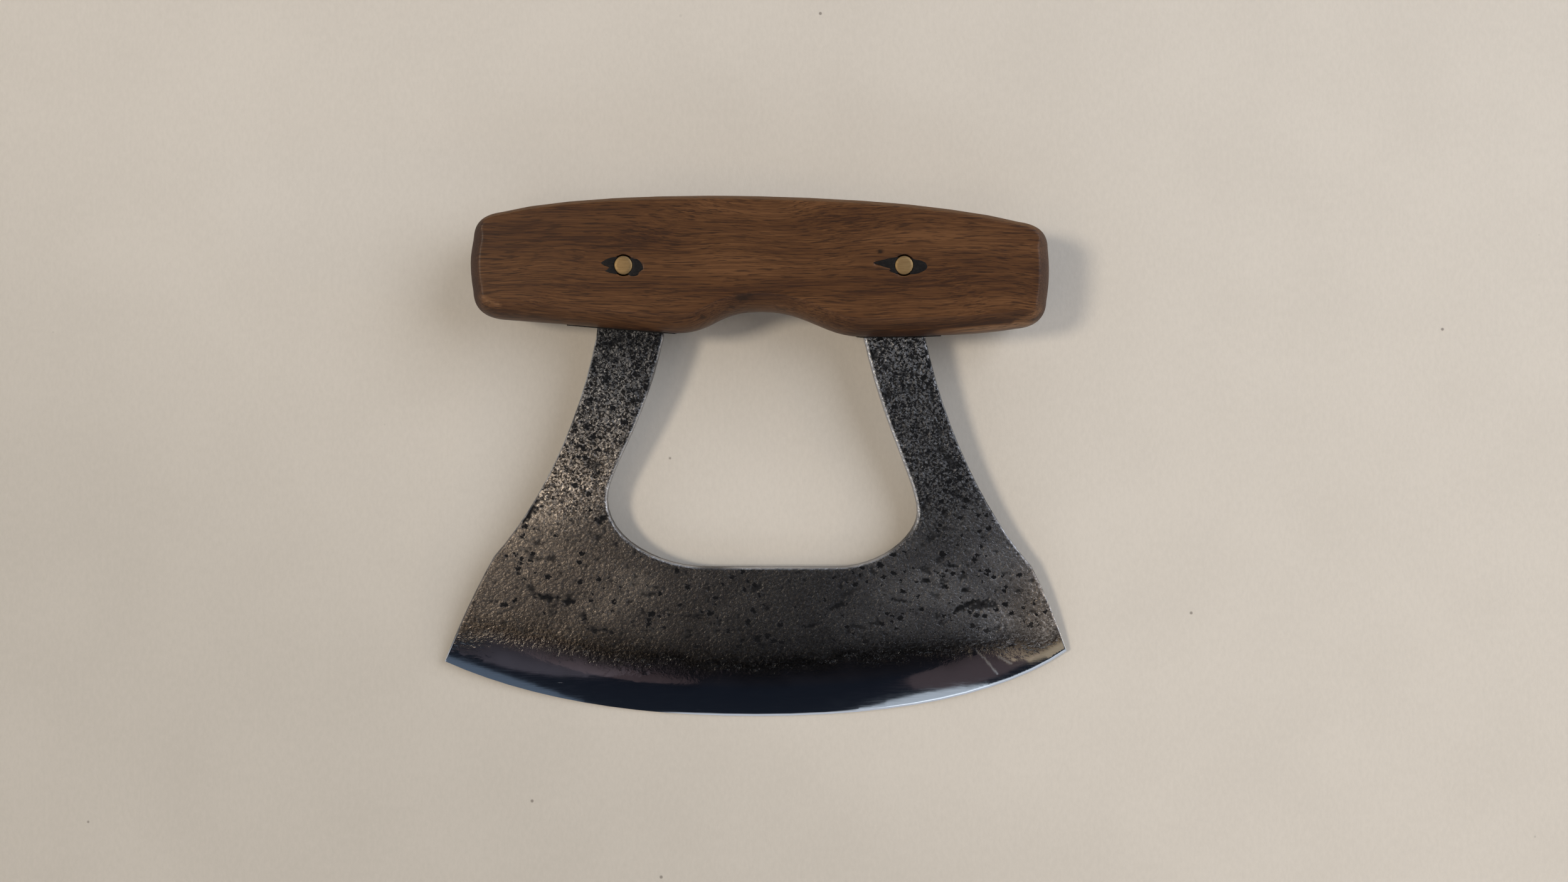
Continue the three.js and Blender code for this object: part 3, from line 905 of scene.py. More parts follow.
@dataclass
class Blade:
    """The forged steel: crescent blade, two legs and their tangs, in one piece."""

    lie: Lie
    nodes: dict[str, Piece]
    steel: Material
    leg_thickness: float = 4.2
    belly_thickness: float = 2.4
    taper_start: float = 62.0
    edge_round: float = 0.8
    edge_thickness: float = 0.24
    edge_angle: float = 9.0
    grind_radius: float = 130.0
    grind_blend: float = 0.20
    keen_width: float = 0.8
    keen_half: float = 0.02
    skin_gap: float = 0.008
    seat: float = 104.5
    step: float = 0.5
    back_step: float = 0.8
    tang_step: float = 1.6
    rim_rings: tuple[float, ...] = (0.08, 0.28, 0.6, 1.0)
    front_seed: int = 11
    back_seed: int = 29
    wall_levels: int = 3
    # Share of the rim's brightness carried down the walls, a painted reflection.
    wall_wear_and_sheen: float = 0.50
    ground_width: Curve = Curve(
        (-85, -60, -45, 0, 20, 40, 58, 72, 84), (10.4, 11.6, 12.2, 12.2, 13.2, 13.4, 11.8, 8.4, 5.0)
    )
    ground_fade: Curve = Curve(
        (-85, -60, -45, 0, 20, 40, 58, 72, 84), (13.0, 15.0, 14.0, 12.0, 12.0, 13.0, 12.0, 9.0, 7.0)
    )
    ground_stray: float = 3.6
    # Black forge scale on each leg by height v, deepened with painted shade near the grip and over the right
    # leg.
    left_scale_and_shade: Curve = Curve((52, 62, 80, 100), (0.34, 0.54, 0.88, 0.98))
    right_scale_and_shade: Curve = Curve((40, 56, 70, 84, 100), (0.80, 0.93, 0.93, 0.92, 0.92))
    left_wear: Curve = Curve((50, 64, 84, 99, 104), (0.38, 0.90, 0.48, 0.26, 0.12))
    right_wear: Curve = Curve((80, 96, 104), (0.27, 0.36, 0.62))
    right_middle: Curve = Curve((60, 81, 104), (53.5, 44.6, 38.0))
    # Spots of rubbing mixed with painted glints: (u, v, spread, share).
    worn_and_glint_spots: Table = (
        (-57, 61, 8.0, 0.45),
        (83, 25, 6.0, 0.9),
        (67, 24, 6.0, 0.35),
        (79, 36, 5.0, 0.45),
    )
    outline: Array = field(init=False)
    bores: list[Array] = field(init=False)
    rim: Line = field(init=False)
    edge: Line = field(init=False)

    def __post_init__(self) -> None:
        """Reads the outline and the pin bores from the CAD solid's middle section."""
        loops = self.lie.section(self.nodes["blade"], 0.004)
        outer = loops[0] if signed_area(loops[0]) > 0 else loops[0][::-1]
        self.outline = flowing(outer, self.step)
        self.bores = [loop if signed_area(loop) < 0 else loop[::-1] for loop in loops[1:]]
        left, right = self.outline[:, 0].argmin(), self.outline[:, 0].argmax()
        turned = np.roll(self.outline, -left, 0)
        stop = (right - left) % len(turned)
        self.edge = Line(turned[: stop + 1])
        self.rim = Line(np.vstack([turned[stop:], turned[:1]]))

    def sheet(self, spacing: float) -> tuple[Array, Array]:
        """Spreads triangles over the outline, finer beside the rim and with the pin bores left open.

        Args:
            spacing: Distance between points on the visible steel.

        Returns:
            The points (u, v), outline and bores first, and the triangles' corners.
        """
        loops = [self.outline, *self.bores]
        ahead = np.roll(self.outline, -1, 0) - np.roll(self.outline, 1, 0)
        inward = np.stack([-ahead[:, 1], ahead[:, 0]], 1) / np.linalg.norm(ahead, axis=1)[:, None]
        rings = []
        for share in self.rim_rings:
            depth = share * self.edge_round
            ring = self.outline + depth * inward
            apart = np.minimum(self.rim.distance(ring), self.edge.distance(ring))
            rings.append(ring[(apart > 0.97 * depth) & inside(self.outline, ring)])
        low, high = self.outline.min(0), self.outline.max(0)
        top = self.seat + 1.5
        shown = even_spread(low, np.array([high[0], top]), spacing)
        tangs = even_spread(np.array([low[0], top + self.tang_step / 2]), high, self.tang_step)
        inner = np.vstack([shown, tangs])
        inner = inner[inside(self.outline, inner)]
        apart = np.minimum(self.rim.distance(inner), self.edge.distance(inner))
        keep = apart > self.edge_round + 0.3 * spacing
        for bore in self.bores:
            centre = bore.mean(0)
            radius = np.linalg.norm(bore - centre, axis=1).mean()
            keep &= np.linalg.norm(inner - centre, axis=1) > radius + 0.5
        points = np.vstack([*loops, *rings, inner[keep]])
        return points, triangles(loops, points)

    def build(self) -> None:
        """Makes the steel and hands it over for the CAD blade."""
        front, front_faces = self.sheet(self.step)
        back, back_faces = self.sheet(self.back_step)
        tops = SteelFace(self, front, Face.FRONT).worked_out()
        bottoms = SteelFace(self, back, Face.BACK).worked_out()
        layers = [np.column_stack([front, tops["w"]]), np.column_stack([back, bottoms["w"]])]
        marks = {key: [tops[key], bottoms[key]] for key in tops if key != "w"}
        faces = [front_faces.tolist(), (back_faces[:, ::-1] + len(front)).tolist()]
        total = len(front) + len(back)
        start = 0
        for loop in [self.outline, *self.bores]:
            count = len(loop)
            rows = [start + np.arange(count)]
            # Painted reflection on the walls: dim on the left leg's inner wall, brighter further right.
            rub_and_sheen = np.interp(loop[:, 0], (-30.0, -14.0), (0.25 * self.wall_wear_and_sheen, self.wall_wear_and_sheen))
            for level in range(1, self.wall_levels):
                share = level / self.wall_levels
                w = tops["w"][rows[0]] * (1 - share) + bottoms["w"][rows[0]] * share
                layers.append(np.column_stack([loop, w]))
                for key in marks:
                    marks[key].append(tops[key][rows[0]] * (rub_and_sheen if key == "rim" else 1.0))
                rows.append(total + np.arange(count))
                total += count
            rows.append(len(front) + start + np.arange(count))
            for upper, lower in zip(rows, rows[1:]):
                ahead = np.roll(upper, -1), np.roll(lower, -1)
                faces.append(np.stack([upper, lower, ahead[1], ahead[0]], 1).tolist())
            start += count
        all_faces = [face for group in faces for face in group]
        piece = new_piece("forged_blade", np.vstack(layers), all_faces, self.lie.to_row)
        for key, values in marks.items():
            mark(piece, key, np.concatenate(values))
        with editing(piece):
            bpy.ops.mesh.normals_make_consistent(inside=False)
        hand_over(piece, self.steel, ["blade"], crease=58)


@dataclass
class SteelFace:
    """One face of the blade at spots (u, v): its height there, and the marks that its finish reads."""

    blade: Blade
    spots: Array
    face: Face

    def __post_init__(self) -> None:
        """Measures how the points lie, and how far each is polished, part of a leg, shown and bare."""
        blade = self.blade
        u, v = self.u, self.v = self.spots.T
        self.near_rim, self.near_edge = blade.rim.distance(self.spots), blade.edge.distance(self.spots)
        seed = blade.front_seed if self.face is Face.FRONT else blade.back_seed
        self.broad, self.fine, self.pits, border = (Mottle(seed + k) for k in range(4))
        self.ground = blade.ground_width.of(u) + blade.ground_stray * (border.rough(u, v, 7.0) - 0.5)
        polish = ease(1.0, -1.0, (self.near_edge - self.ground) / blade.ground_fade.of(u))
        tips = np.maximum(0.45 * ease(66.0, 80.0, u), 0.30 * ease(-66.0, -82.0, u))
        self.polish = polish * (1.0 - tips * ease(1.5, 5.0, self.near_edge))
        self.leg = ease(44.0, 68.0, v + 8.0 * (self.broad.at(u, v, 11.0) - 0.5))
        self.shown = ease(blade.seat + 1.0, blade.seat - 0.5, v)
        self.bare = ease(0.8, 0.0, self.polish) * self.shown

    def section(self) -> Array:
        """The forged taper, ground away towards the edge, which is keen on the right.

        Returns:
            Half of the thickness.
        """
        blade = self.blade
        slope = (blade.leg_thickness - blade.belly_thickness) / 2 / blade.taper_start
        forged = np.minimum(blade.belly_thickness / 2 + slope * self.v, blade.leg_thickness / 2)
        start = math.sin(math.radians(blade.edge_angle))
        lean = np.sqrt(1.0 - np.clip(start - self.near_edge / blade.grind_radius, 0.0, 1.0) ** 2)
        ground = blade.edge_thickness / 2 + blade.grind_radius * (lean - math.sqrt(1.0 - start**2))
        roll = np.maximum(blade.grind_blend - np.abs(forged - ground), 0.0) / blade.grind_blend
        height = np.minimum(forged, ground) - roll**2 * blade.grind_blend / 4 - blade.skin_gap
        keen = np.clip(1.0 - self.near_edge / blade.keen_width, 0.0, 1.0) ** 2 * ease(-34.0, -6.0, self.u)
        return height - (blade.edge_thickness / 2 - blade.keen_half) * keen

    def forging(self) -> tuple[Array, Array, Array]:
        """What the forge left: waves, pits and, in front, scars and scratches.

        Returns:
            The relief, how sooty its hollows are and how bright the scratches are.
        """
        u, v = self.u, self.v
        wave = 0.20 * (self.broad.at(u, v, 12.0) - 0.5) + 0.11 * (self.broad.at(v, u, 5.0) - 0.5)
        peel = 0.05 * (self.fine.at(u, v, 2.0) - 0.5) + 0.04 * (self.fine.at(v, u, 1.1) - 0.5)
        pit = ease(0.0, 0.06, self.pits.rough(u, v, 2.0) - 0.70 + 0.05 * self.leg)
        relief = 0.6 * wave + (0.6 + 0.6 * self.leg) * peel - 0.12 * pit
        soot, bright = 0.8 * pit, np.zeros(len(u))
        if self.face is Face.FRONT:
            ragged = 1.5 * (self.pits.at(u * 1.7, v * 1.7, 1.0) - 0.5)
            for scar in SCARS:
                dent = ease(1.2, 0.7, scar.reach(u, v) + ragged)
                relief = relief - scar.depth * dent
                soot = np.maximum(soot, scar.soot * dent)
            for scratch in SCRATCHES:
                bright = np.maximum(bright, 0.5 * ease(0.45, 0.12, scratch.distance(self.spots)))
        return relief * self.bare, soot * self.bare, bright

    def shade(self) -> Array:
        """Black scale with painted shade on the legs, and painted shade on dimmer parts of the blade.

        Returns:
            How dark the skin is.
        """
        u, v = self.u, self.v
        # Black scale on the legs, with painted shade.
        scale = np.where(u < 0, self.blade.left_scale_and_shade.of(v), self.blade.right_scale_and_shade.of(v)) * self.leg
        # Painted shade and dim reflection: darker across the middle, at the lower left, along the border of
        # the ground bevel and near the right leg's base.
        middle = 0.80 * np.exp(-(((u - 8) / 44) ** 2))
        low_left = 0.44 * ease(38.0, 18.0, v) * ease(40.0, -20.0, u)
        brink = 0.80 * ease(self.ground + 14.0, self.ground + 1.0, self.near_edge)
        brink = brink * ease(-52.0, -18.0, u) * ease(66.0, 44.0, u)
        right_foot = 0.45 * np.exp(-(((u - 50) / 15) ** 2) - ((v - 56) / 12) ** 2)
        lit = (1.0 - middle) * (1.0 - low_left) * (1.0 - brink) * (1.0 - right_foot)
        return np.clip(scale + (1.0 - lit) * (1.0 - self.leg), 0.0, 0.97)

    def wear_and_glint(self) -> Array:
        """Bright rubbing on the legs, and painted glints mixed with rubbing in a few spots of the blade.

        Returns:
            How bright the skin is made by rubbing, and at a few spots by painted glints.
        """
        u, v = self.u, self.v
        wear_and_glint = np.where(u < 0, self.blade.left_wear.of(v), self.blade.right_wear.of(v)) * self.leg + 0.02
        for spot_u, spot_v, spread, share in self.blade.worn_and_glint_spots:
            wear_and_glint = wear_and_glint + share * np.exp(-(((u - spot_u) ** 2 + (v - spot_v) ** 2) / spread**2))
        return wear_and_glint

    def rim(self) -> Array:
        """Scuffs here and there along the rim, and a painted highlight along the right leg's inner side.

        Returns:
            How bright the rim is.
        """
        u, v = self.u, self.v
        right_leg = ease(15.0, 20.0, u) * ease(48.0, 58.0, v)
        # Painted highlight along the right leg's inner edge.
        inner = ease(3.0, -3.0, u - self.blade.right_middle.of(v)) * right_leg
        outer = right_leg * (1.0 - inner)
        worn_and_glint = np.maximum(0.25 + 0.75 * ease(0.25, 0.65, self.broad.at(u + 9, v, 9.0)), inner)
        away = self.near_rim + 0.15 * (self.fine.at(u, v, 1.3) - 0.5)
        scuff_and_highlight = ease(0.42 + 0.28 * inner, 0.08 + 0.22 * inner, away) * worn_and_glint * (1.0 - 0.7 * outer)
        return scuff_and_highlight * self.shown * ease(0.3, 0.5, self.near_edge)

    def worked_out(self) -> dict[str, Array]:
        """Works out the face.

        Returns:
            Heights "w" over the middle plane, and the steel's marks by name.
        """
        u, v, leg = self.u, self.v, self.leg
        relief, soot, bright = self.forging()
        height = self.section() + relief * ease(0.0, 0.7, self.near_rim)
        radius = np.minimum(self.blade.edge_round, 0.6 * height)
        over = np.clip(1.0 - self.near_rim / radius, 0.0, 1.0)
        height = height - radius * (1.0 - np.sqrt(1.0 - over**2))
        crowd = ease(0.45, 0.75, self.broad.at(u + 40, v, 15.0))
        dense = 0.18 + 0.32 * leg + 0.30 * crowd + 0.52 * ease(5.0, 45.0, u) * (1.0 - leg)
        # Painted reflection of lamp light, golden, over the left of the blade and at the right tip.
        warm_reflection_left = ease(30.0, -60.0, u) * ease(96.0, 66.0, v)
        warm_reflection_tip = ease(24.0, 6.0, np.hypot(u - 84, v - 30))
        return {
            "w": self.face.value * height,
            "polish": self.polish,
            "pit": soot,
            "leg": leg,
            "rim": np.maximum(self.rim(), bright),
            "dense": dense,
            "wear_and_glint": self.wear_and_glint(),
            "shade": self.shade(),
            "warm_reflection": np.maximum(warm_reflection_left, warm_reflection_tip),
        }


# Painted highlights along two crests at the grip's lower corners.
CREST_HIGHLIGHTS: tuple[Line, ...] = (
    Line(((-70.1, 114.9), (-67.6, 113.6), (-65.5, 112.9))),
    Line(((67.6, 108.3), (71.4, 109.8), (73.9, 111.7))),
)


@dataclass
class Grip:
    """The one-piece wooden grip."""

    lie: Lie
    nodes: dict[str, Piece]
    walnut: Material
    voxel: float = 0.52
    smooth_passes: int = 3
    tool_marks: float = 0.10
    left_round: float = 0.6
    seat: float = 104.5
    crease_height: float = 107.7
    crease_slope: float = 0.085
    # Darker wood beside each leg's seat: (u, reach).
    seat_darkenings: Table = ((-35.0, 13.0), (37.0, 13.0))
    knots: Table = (
        (-2.6, 114.6, 1.5),
        (-13.0, 109.6, 0.6),
        (-5.8, 112.4, 0.5),
        (32.4, 126.4, 0.6),
    )
    noise: Mottle = field(default_factory=lambda: Mottle(53))

    def carve(self, piece: Piece) -> tuple[Array, Array]:
        """Softens the CAD grip's facets and crests and leaves the marks of the tools.

        Args:
            piece: The grip, in the knife's plane.

        Returns:
            The grip's points, and its normals before the tools' marks.
        """
        low, high = points_of(piece).min(0), points_of(piece).max(0)
        piece.data.remesh_voxel_size = self.voxel
        bpy.ops.object.voxel_remesh()
        soften = piece.modifiers.new("soften", "SMOOTH")
        soften.factor = 0.5
        soften.iterations = self.smooth_passes
        bpy.ops.object.modifier_apply(modifier=soften.name)
        points, normals = points_of(piece), points_of(piece, "vertex_normals", "vector")
        u, v, w = points.T
        sink = self.noise.at(u + 0.6 * w, v + 0.8 * w, 15.0) + 0.5 * self.noise.at(v - 0.5 * w, u, 7.0)
        points -= normals * (self.tool_marks * sink / 1.5)[:, None]
        points[:, 0] += self.left_round * ease(123.0, 132.0, v) * ease(-56.0, -72.0, u)
        put_points(piece, np.clip(points, low, high))
        return points, normals

    def marks(self, points: Array, normals: Array) -> dict[str, Array]:
        """Where the wood is end grain (darkest on the left end, as painted shade), under a painted sunlit
        crown, paler or darker (at random, with painted highlights on crests and a chamfer, painted shade on
        the underside and a crease, and darker beside the seats), or knotted.

        Args:
            points: The grip's points, in the knife's plane.
            normals: Their normals.

        Returns:
            The marks end, crown, tone and knot.
        """
        u, v, w = points.T
        front = w > 0
        # Painted light on the top rounding, which faces away from the blade.
        crown = ease(0.25, 0.9, normals[:, 1]) * ease(-10.0, 8.0, w)
        # Painted shade on the bottom rounding, which faces the blade.
        foot_shade = ease(0.2, 0.9, -normals[:, 1])
        knot, crest_highlight, seat_dark = np.zeros((3, len(u)))
        for knot_u, knot_v, size in self.knots:
            apart = np.hypot((u - knot_u) / 1.7, v - knot_v) / size + 0.9 * (self.noise.at(u, v, 0.8) - 0.5)
            knot = np.maximum(knot, ease(1.1, 0.4, apart) * front * np.abs(normals[:, 2]))
        for crest in CREST_HIGHLIGHTS:
            crest_highlight = np.maximum(crest_highlight, ease(1.3, 0.2, crest.distance(points[:, :2])) * front)
        for seat_dark_u, reach in self.seat_darkenings:
            seat_dark = np.maximum(seat_dark, ease(reach, 0.6 * reach, np.abs(u - seat_dark_u)))
        seat_dark = seat_dark * ease(3.2, 0.4, v - self.seat + 2.4 * (self.noise.at(u, v, 2.5) - 0.5))
        # Painted light on the lower right chamfer of the grip, with a painted dark line along its crease.
        crease = v - self.crease_height - self.crease_slope * (u - 55.0)
        lit_facet = 0.85 * ease(-0.2, -1.0, crease) - 0.12 * np.exp(-((crease / 0.7) ** 2))
        lit_facet = lit_facet * ease(40.0, 58.0, u) * ease(79.0, 71.0, u) * ease(3.0, 10.5, w)
        cloud = self.noise.at(u, v * 2.2, 24.0) - 0.5
        warmth = 0.06 * ease(15.0, 50.0, u) - 0.01
        return {
            # End grain is darker; deepest on the left end, as painted shade.
            "end": np.where(u > 0, 0.5, 0.75) * ease(0.35, 0.85, np.abs(normals[:, 0])),
            "crown": 0.6 * crown,
            # Random shifts, with painted highlights on the crests and chamfer, painted shade on the
            # underside, and darker wood by the seats.
            "tone_and_painted_light": 0.10 * cloud + warmth - 0.05 * foot_shade + lit_facet + 0.45 * crest_highlight - 0.32 * seat_dark,
            "knot": knot,
        }

    def build(self) -> None:
        """Makes the grip and hands it over for the CAD handle."""
        piece = merged_copy(self.nodes["handle"], "walnut_grip")
        piece.data.transform(self.lie.to_knife)
        marks = self.marks(*self.carve(piece))
        piece.data.transform(self.lie.to_row)
        for name, values in marks.items():
            mark(piece, name, values)
        hand_over(piece, self.walnut, ["handle"])


@dataclass(frozen=True)
class ChipShape:
    """Outlines of the two filled chips beside a pin, from the pin's middle, in millimetres.

    Attributes:
        tail: Points of the left-hand chip, from above the pin round to below it.
        head: Points of the right-hand chip, from below the pin round to above it.
    """

    tail: Table
    head: Table


CHIPS: dict[Side, ChipShape] = {
    Side.LEFT: ChipShape(
        tail=(
            (-1.5, 2.05), (-2.6, 2.0), (-3.7, 1.75), (-5.6, 0.75), (-5.5, 0.3), (-4.6, -0.15), (-3.6, -0.55),
            (-3.9, -0.95), (-4.7, -1.5), (-3.4, -1.95), (-2.5, -2.15), (-1.7, -2.3),
        ),
        head=(
            (1.2, -2.3), (1.9, -2.75), (3.0, -2.75), (3.75, -2.4), (4.0, -1.75), (5.0, -1.1), (4.95, -0.4),
            (4.6, 0.5), (3.8, 1.4), (2.6, 1.75), (1.6, 1.9),
        ),
    ),
    Side.RIGHT: ChipShape(
        tail=(
            (-1.5, 2.05), (-3.0, 1.85), (-5.2, 1.4), (-8.1, 0.62), (-6.6, 0.1), (-5.2, -0.38), (-3.6, -0.85),
            (-4.4, -1.2), (-4.1, -1.6), (-2.6, -2.2), (-1.6, -2.3),
        ),
        head=(
            (1.5, -2.3), (3.0, -2.2), (4.3, -1.75), (5.4, -1.2), (5.95, -0.45), (5.4, 0.6), (4.1, 1.2),
            (2.7, 1.45), (1.7, 1.85),
        ),
    ),
}


@dataclass
class PinSet:
    """One brass pin with the epoxy that fills the chipped wood beside it and beds the tang below it."""

    lie: Lie
    nodes: dict[str, Piece]
    side: Side
    brass: Material
    epoxy: Material
    diameter: float = 4.76
    half_length: float = 12.5
    dome: float = 0.06
    chamfer: float = 0.22
    sides: int = 72
    head_rings: tuple[float, ...] = (0.10, 0.25, 0.3, 0.3)
    fill_depth: float = 1.2
    fill_gap: float = 0.05
    fill_step: float = 0.22
    fill_crown: float = 0.05
    fill_sink: float = 0.06
    bed_swell: float = 0.27

    def middle(self) -> tuple[float, float]:
        """Where the pin's axis crosses the knife's plane.

        Returns:
            The middle (u, v) of the CAD node.
        """
        node = self.nodes[f"{self.side.value}_pin"]
        points = np.array([self.lie.to_knife @ Vector(p) for p in points_of(node)])
        low, high = points.min(0), points.max(0)
        return (low[0] + high[0]) / 2, (low[1] + high[1]) / 2

    def build_pin(self) -> None:
        """Turns the pin: a round bar with softly domed, chamfered heads."""
        radius = self.diameter / 2
        u, v = self.middle()
        bpy.ops.object.select_all(action="DESELECT")
        bpy.ops.mesh.primitive_cylinder_add(vertices=self.sides, radius=radius, depth=2 * self.half_length)
        piece = bpy.context.active_object
        piece.name = piece.data.name = f"{self.side.value}_brass_pin"
        bpy.ops.object.mode_set(mode="EDIT")
        bpy.ops.mesh.select_mode(type="FACE")
        bpy.ops.mesh.select_all(action="DESELECT")
        bpy.ops.object.mode_set(mode="OBJECT")
        for face in piece.data.polygons:
            face.select = abs(face.normal.z) > 0.9
        bpy.ops.object.mode_set(mode="EDIT")
        for share in self.head_rings:
            bpy.ops.mesh.inset(thickness=share * radius)
        bpy.ops.mesh.poke()
        bpy.ops.object.mode_set(mode="OBJECT")
        points = points_of(piece)
        out = np.hypot(points[:, 0], points[:, 1]) / radius
        top = np.abs(points[:, 2]) > self.half_length - 0.01
        drop = self.dome * out**2 + self.chamfer * ease(0.86, 1.0, out) ** 2
        points[:, 2] -= np.sign(points[:, 2]) * np.where(top, drop, 0.0)
        put_points(piece, points)
        piece.data.transform(self.lie.to_row @ Matrix.Translation((u, v, 0.0)))
        hand_over(piece, self.brass, [f"{self.side.value}_pin"], crease=50)

    def outline(self, points: Table) -> Array:
        """Closes a chip's outline along the pin.

        Args:
            points: The chip's points, anticlockwise from one side of the pin round to the other.

        Returns:
            A closed anticlockwise loop that keeps just clear of the pin.
        """
        run = np.array(points)
        radius = self.diameter / 2 + self.fill_gap
        run *= np.maximum(1.0, radius / np.linalg.norm(run, axis=1))[:, None]
        first, last = (math.atan2(p[1], p[0]) for p in (run[-1], run[0]))
        if run[:, 0].mean() < 0:
            first, last = first % (2 * math.pi), last % (2 * math.pi)
        turns = np.linspace(first, last, 16)[1:-1]
        arc = radius * np.stack([np.cos(turns), np.sin(turns)], 1)
        return flowing(np.vstack([run, arc]), 0.2, 50.0)

    def build_fill(self) -> None:
        """Pours the two chips beside the pin: each a little crowned, with its rim sunk into the wood."""
        u, v = self.middle()
        shape = CHIPS[self.side]
        points, faces = [], []
        total = 0
        for run in (shape.tail, shape.head):
            loop = self.outline(run)
            rim = Line(np.vstack([loop, loop[:1]]))
            inner = even_spread(loop.min(0), loop.max(0), self.fill_step)
            inner = inner[inside(loop, inner)]
            inner = inner[rim.distance(inner) > 0.4 * self.fill_step]
            spots = np.vstack([loop, inner])
            corners = triangles([loop], spots) + total
            crown = self.fill_crown * ease(0.0, 0.45, rim.distance(spots)) - self.fill_sink
            top = np.column_stack([spots, self.half_length + crown])
            floor = np.column_stack([spots, np.full(len(spots), self.half_length - self.fill_depth)])
            points += [top, floor]
            faces += corners.tolist() + (corners[:, ::-1] + len(spots)).tolist()
            ring = total + np.arange(len(loop))
            ahead = np.roll(ring, -1)
            faces += np.stack([ahead, ring, ring + len(spots), ahead + len(spots)], 1).tolist()
            total += 2 * len(spots)
        name = self.side.value
        place = self.lie.to_row @ Matrix.Translation((u, v, 0.0))
        piece = new_piece(f"{name}_chip_fill", np.vstack(points), faces, place)
        nodes = [f"{name}_pin_fill", f"{name}_pin_tail_fill"]
        hand_over(piece, self.epoxy, nodes, crease=40)

    def build_bed(self) -> None:
        """Swells the CAD bed until it meets the wood and the steel."""
        node = f"{self.side.value}_epoxy_bed"
        piece = merged_copy(self.nodes[node], f"{self.side.value}_epoxy_seat")
        with editing(piece):
            bpy.ops.transform.shrink_fatten(value=self.bed_swell / 1000.0)
        hand_over(piece, self.epoxy, [node], crease=35)


@dataclass(frozen=True)
class Lamp:
    """A soft lamp, aimed at the knife, with its place and size in metres."""

    name: str
    place: Triple
    size: tuple[float, float]
    watts: float
    colour: Colour

    def hang(self) -> None:
        """Adds the lamp to the scene."""
        light = bpy.data.lights.new(self.name, "AREA")
        light.shape = "ELLIPSE"
        light.size, light.size_y = self.size
        light.energy = self.watts
        light.color = self.colour
        lamp = added(self.name, light)
        lamp.location = self.place
        lamp.rotation_euler = (-Vector(self.place)).to_track_quat("-Z", "Y").to_euler()


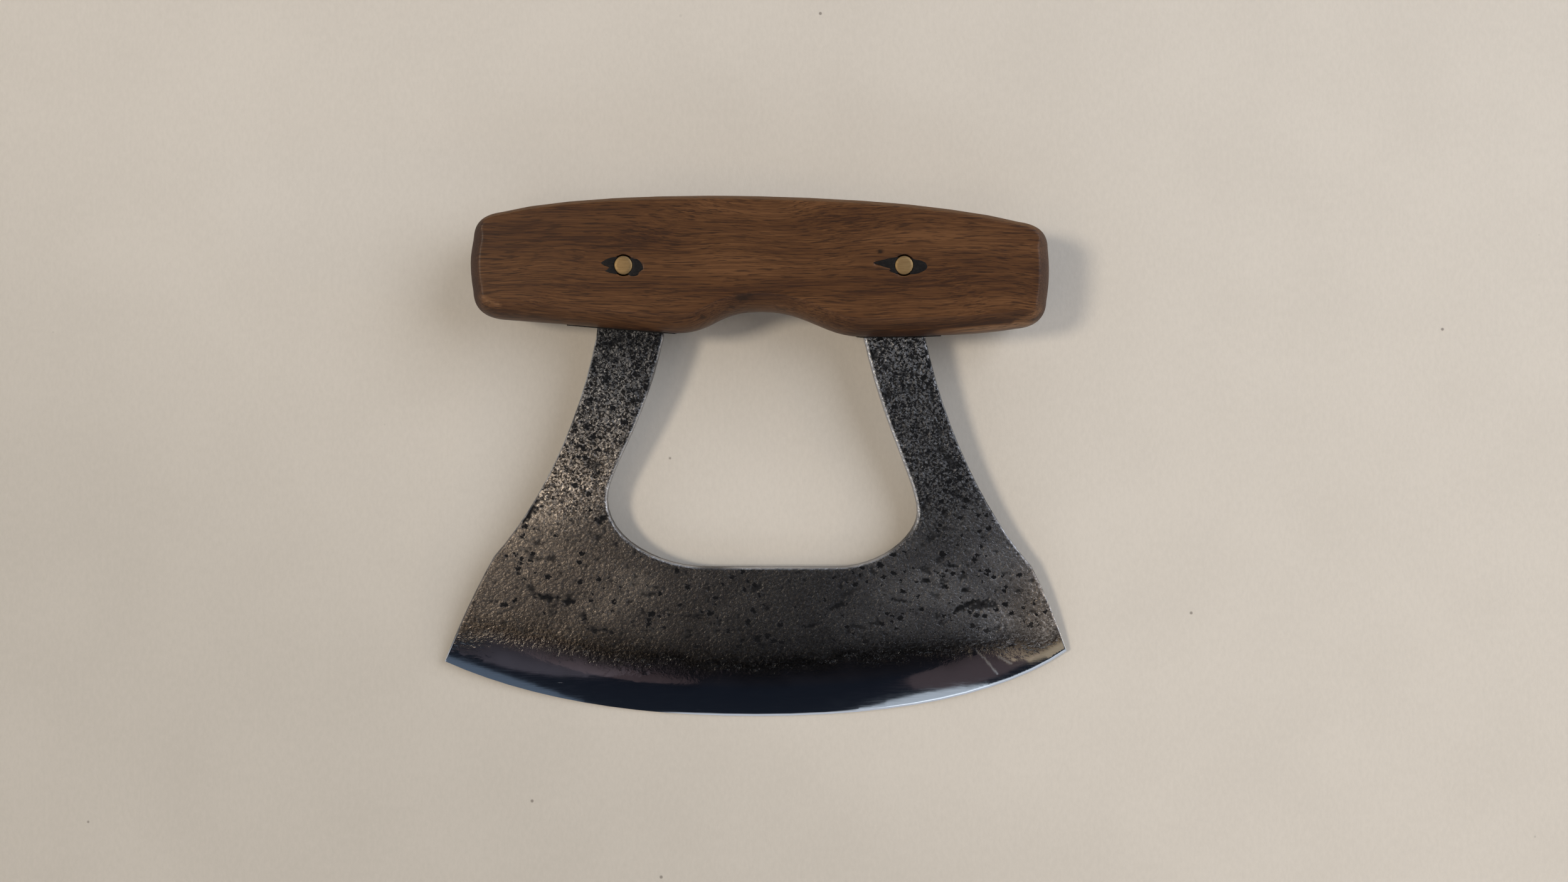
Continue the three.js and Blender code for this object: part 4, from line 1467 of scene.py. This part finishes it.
@dataclass
class Studio:
    """Camera, table and light."""

    camera_place: Triple = (0.007812, 0.00565, 0.3255)
    lens: float = 27.0
    sensor: float = 36.0
    table_width: float = 7.0
    sky: tuple[tuple[float, Colour], ...] = (
        (0.06, (0.36, 0.35, 0.34)),
        (0.24, (0.77, 0.81, 0.88)),
        (0.58, (0.77, 0.81, 0.88)),
        (0.69, (0.014, 0.018, 0.027)),
        (0.81, (0.011, 0.014, 0.022)),
        (0.90, (0.020, 0.019, 0.024)),
        (0.96, (0.060, 0.050, 0.048)),
    )
    lamps: tuple[Lamp, ...] = (
        Lamp("warm_lamp", (-2.20, 0.10, 3.05), (0.75, 0.75), 62.0, (1.0, 0.91, 0.77)),
        Lamp("cool_window", (1.20, 0.45, 0.95), (1.5, 1.5), 20.0, (0.82, 0.89, 1.0)),
        Lamp("front_right_window", (0.240, -0.822, 0.716), (0.27, 0.25), 0.124, (0.80, 0.90, 1.0)),
        Lamp("far_right_window", (0.390, -0.840, 0.712), (0.46, 0.17), 0.120, (0.80, 0.90, 1.0)),
        Lamp("front_left_window", (-0.433, -0.822, 0.742), (0.40, 0.24), 0.046, (0.55, 0.74, 1.0)),
        Lamp("brown_wall_right", (0.300, -0.640, 0.850), (0.26, 0.20), 0.0090, (1.0, 0.70, 0.68)),
        Lamp("brown_wall_left", (-0.205, -0.560, 0.868), (0.22, 0.14), 0.0055, (1.0, 0.66, 0.64)),
        Lamp("golden_wall", (0.440, -0.556, 0.850), (0.24, 0.30), 0.080, (1.0, 0.80, 0.54)),
        Lamp("violet_wall", (-0.380, -0.470, 0.884), (0.46, 0.40), 0.0330, (0.98, 0.85, 0.98)),
        Lamp("warm_ceiling", (-0.55, -0.36, 1.05), (0.40, 0.30), 0.95, (1.0, 0.84, 0.64)),
        Lamp("low_lamp", (0.80, -0.15, 0.32), (0.10, 0.10), 0.4, (1.0, 0.72, 0.30)),
    )

    def set_camera(self) -> None:
        """Puts the camera over the knife, looking straight down as in the photograph."""
        data = bpy.data.cameras.new("camera")
        data.lens = self.lens
        data.sensor_width = self.sensor
        data.clip_start = 0.005
        camera = bpy.context.scene.camera = added("camera", data)
        camera.location = self.camera_place

    def lay_table(self, paper: Material) -> None:
        """Lays the table under the knife.

        Args:
            paper: Its finish.
        """
        bpy.ops.object.select_all(action="DESELECT")
        bpy.ops.mesh.primitive_plane_add(size=self.table_width)
        table = bpy.context.active_object
        table.name = table.data.name = "table"
        table.data.materials.append(paper)

    def light(self) -> None:
        """Hangs the lamps and sets the room's own light, pale at the horizon and dim overhead."""
        for lamp in self.lamps:
            lamp.hang()
        world = bpy.data.worlds.new("room")
        world.use_nodes = True
        bpy.context.scene.world = world
        tree = world.node_tree
        back = tree.nodes["Background"]
        place = tree.nodes.new("ShaderNodeTexCoord")
        split = tree.nodes.new("ShaderNodeSeparateXYZ")
        ramp = tree.nodes.new("ShaderNodeValToRGB")
        tree.links.new(place.outputs["Generated"], split.inputs[0])
        tree.links.new(split.outputs["Z"], ramp.inputs[0])
        ramp.color_ramp.interpolation = "EASE"
        steps = ramp.color_ramp.elements
        while len(steps) < len(self.sky):
            steps.new(1.0)
        for step, (height, colour) in zip(steps, self.sky):
            step.position = height
            step.color = (*colour, 1.0)
        tree.links.new(ramp.outputs[0], back.inputs["Color"])
        bpy.context.scene.view_settings.view_transform = "Standard"


def main() -> None:
    """Builds the knife's pieces in order and reports each."""
    logging.basicConfig(level=logging.INFO, format="%(name)s: %(message)s")
    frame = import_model()
    studio = Studio()
    studio.set_camera()
    studio.lay_table(PalePaper().make())
    studio.light()
    nodes = frame["nodes"]
    lie = Lie.of_frame(frame)
    brass, epoxy = SandedBrass().make(), BlackEpoxy().make()
    Blade(lie, nodes, ForgedSteel().make()).build()
    Grip(lie, nodes, Walnut().make()).build()
    for side in Side:
        pins = PinSet(lie, nodes, side, brass, epoxy)
        pins.build_pin()
        pins.build_fill()
        pins.build_bed()


if __name__ == "__main__":
    main()
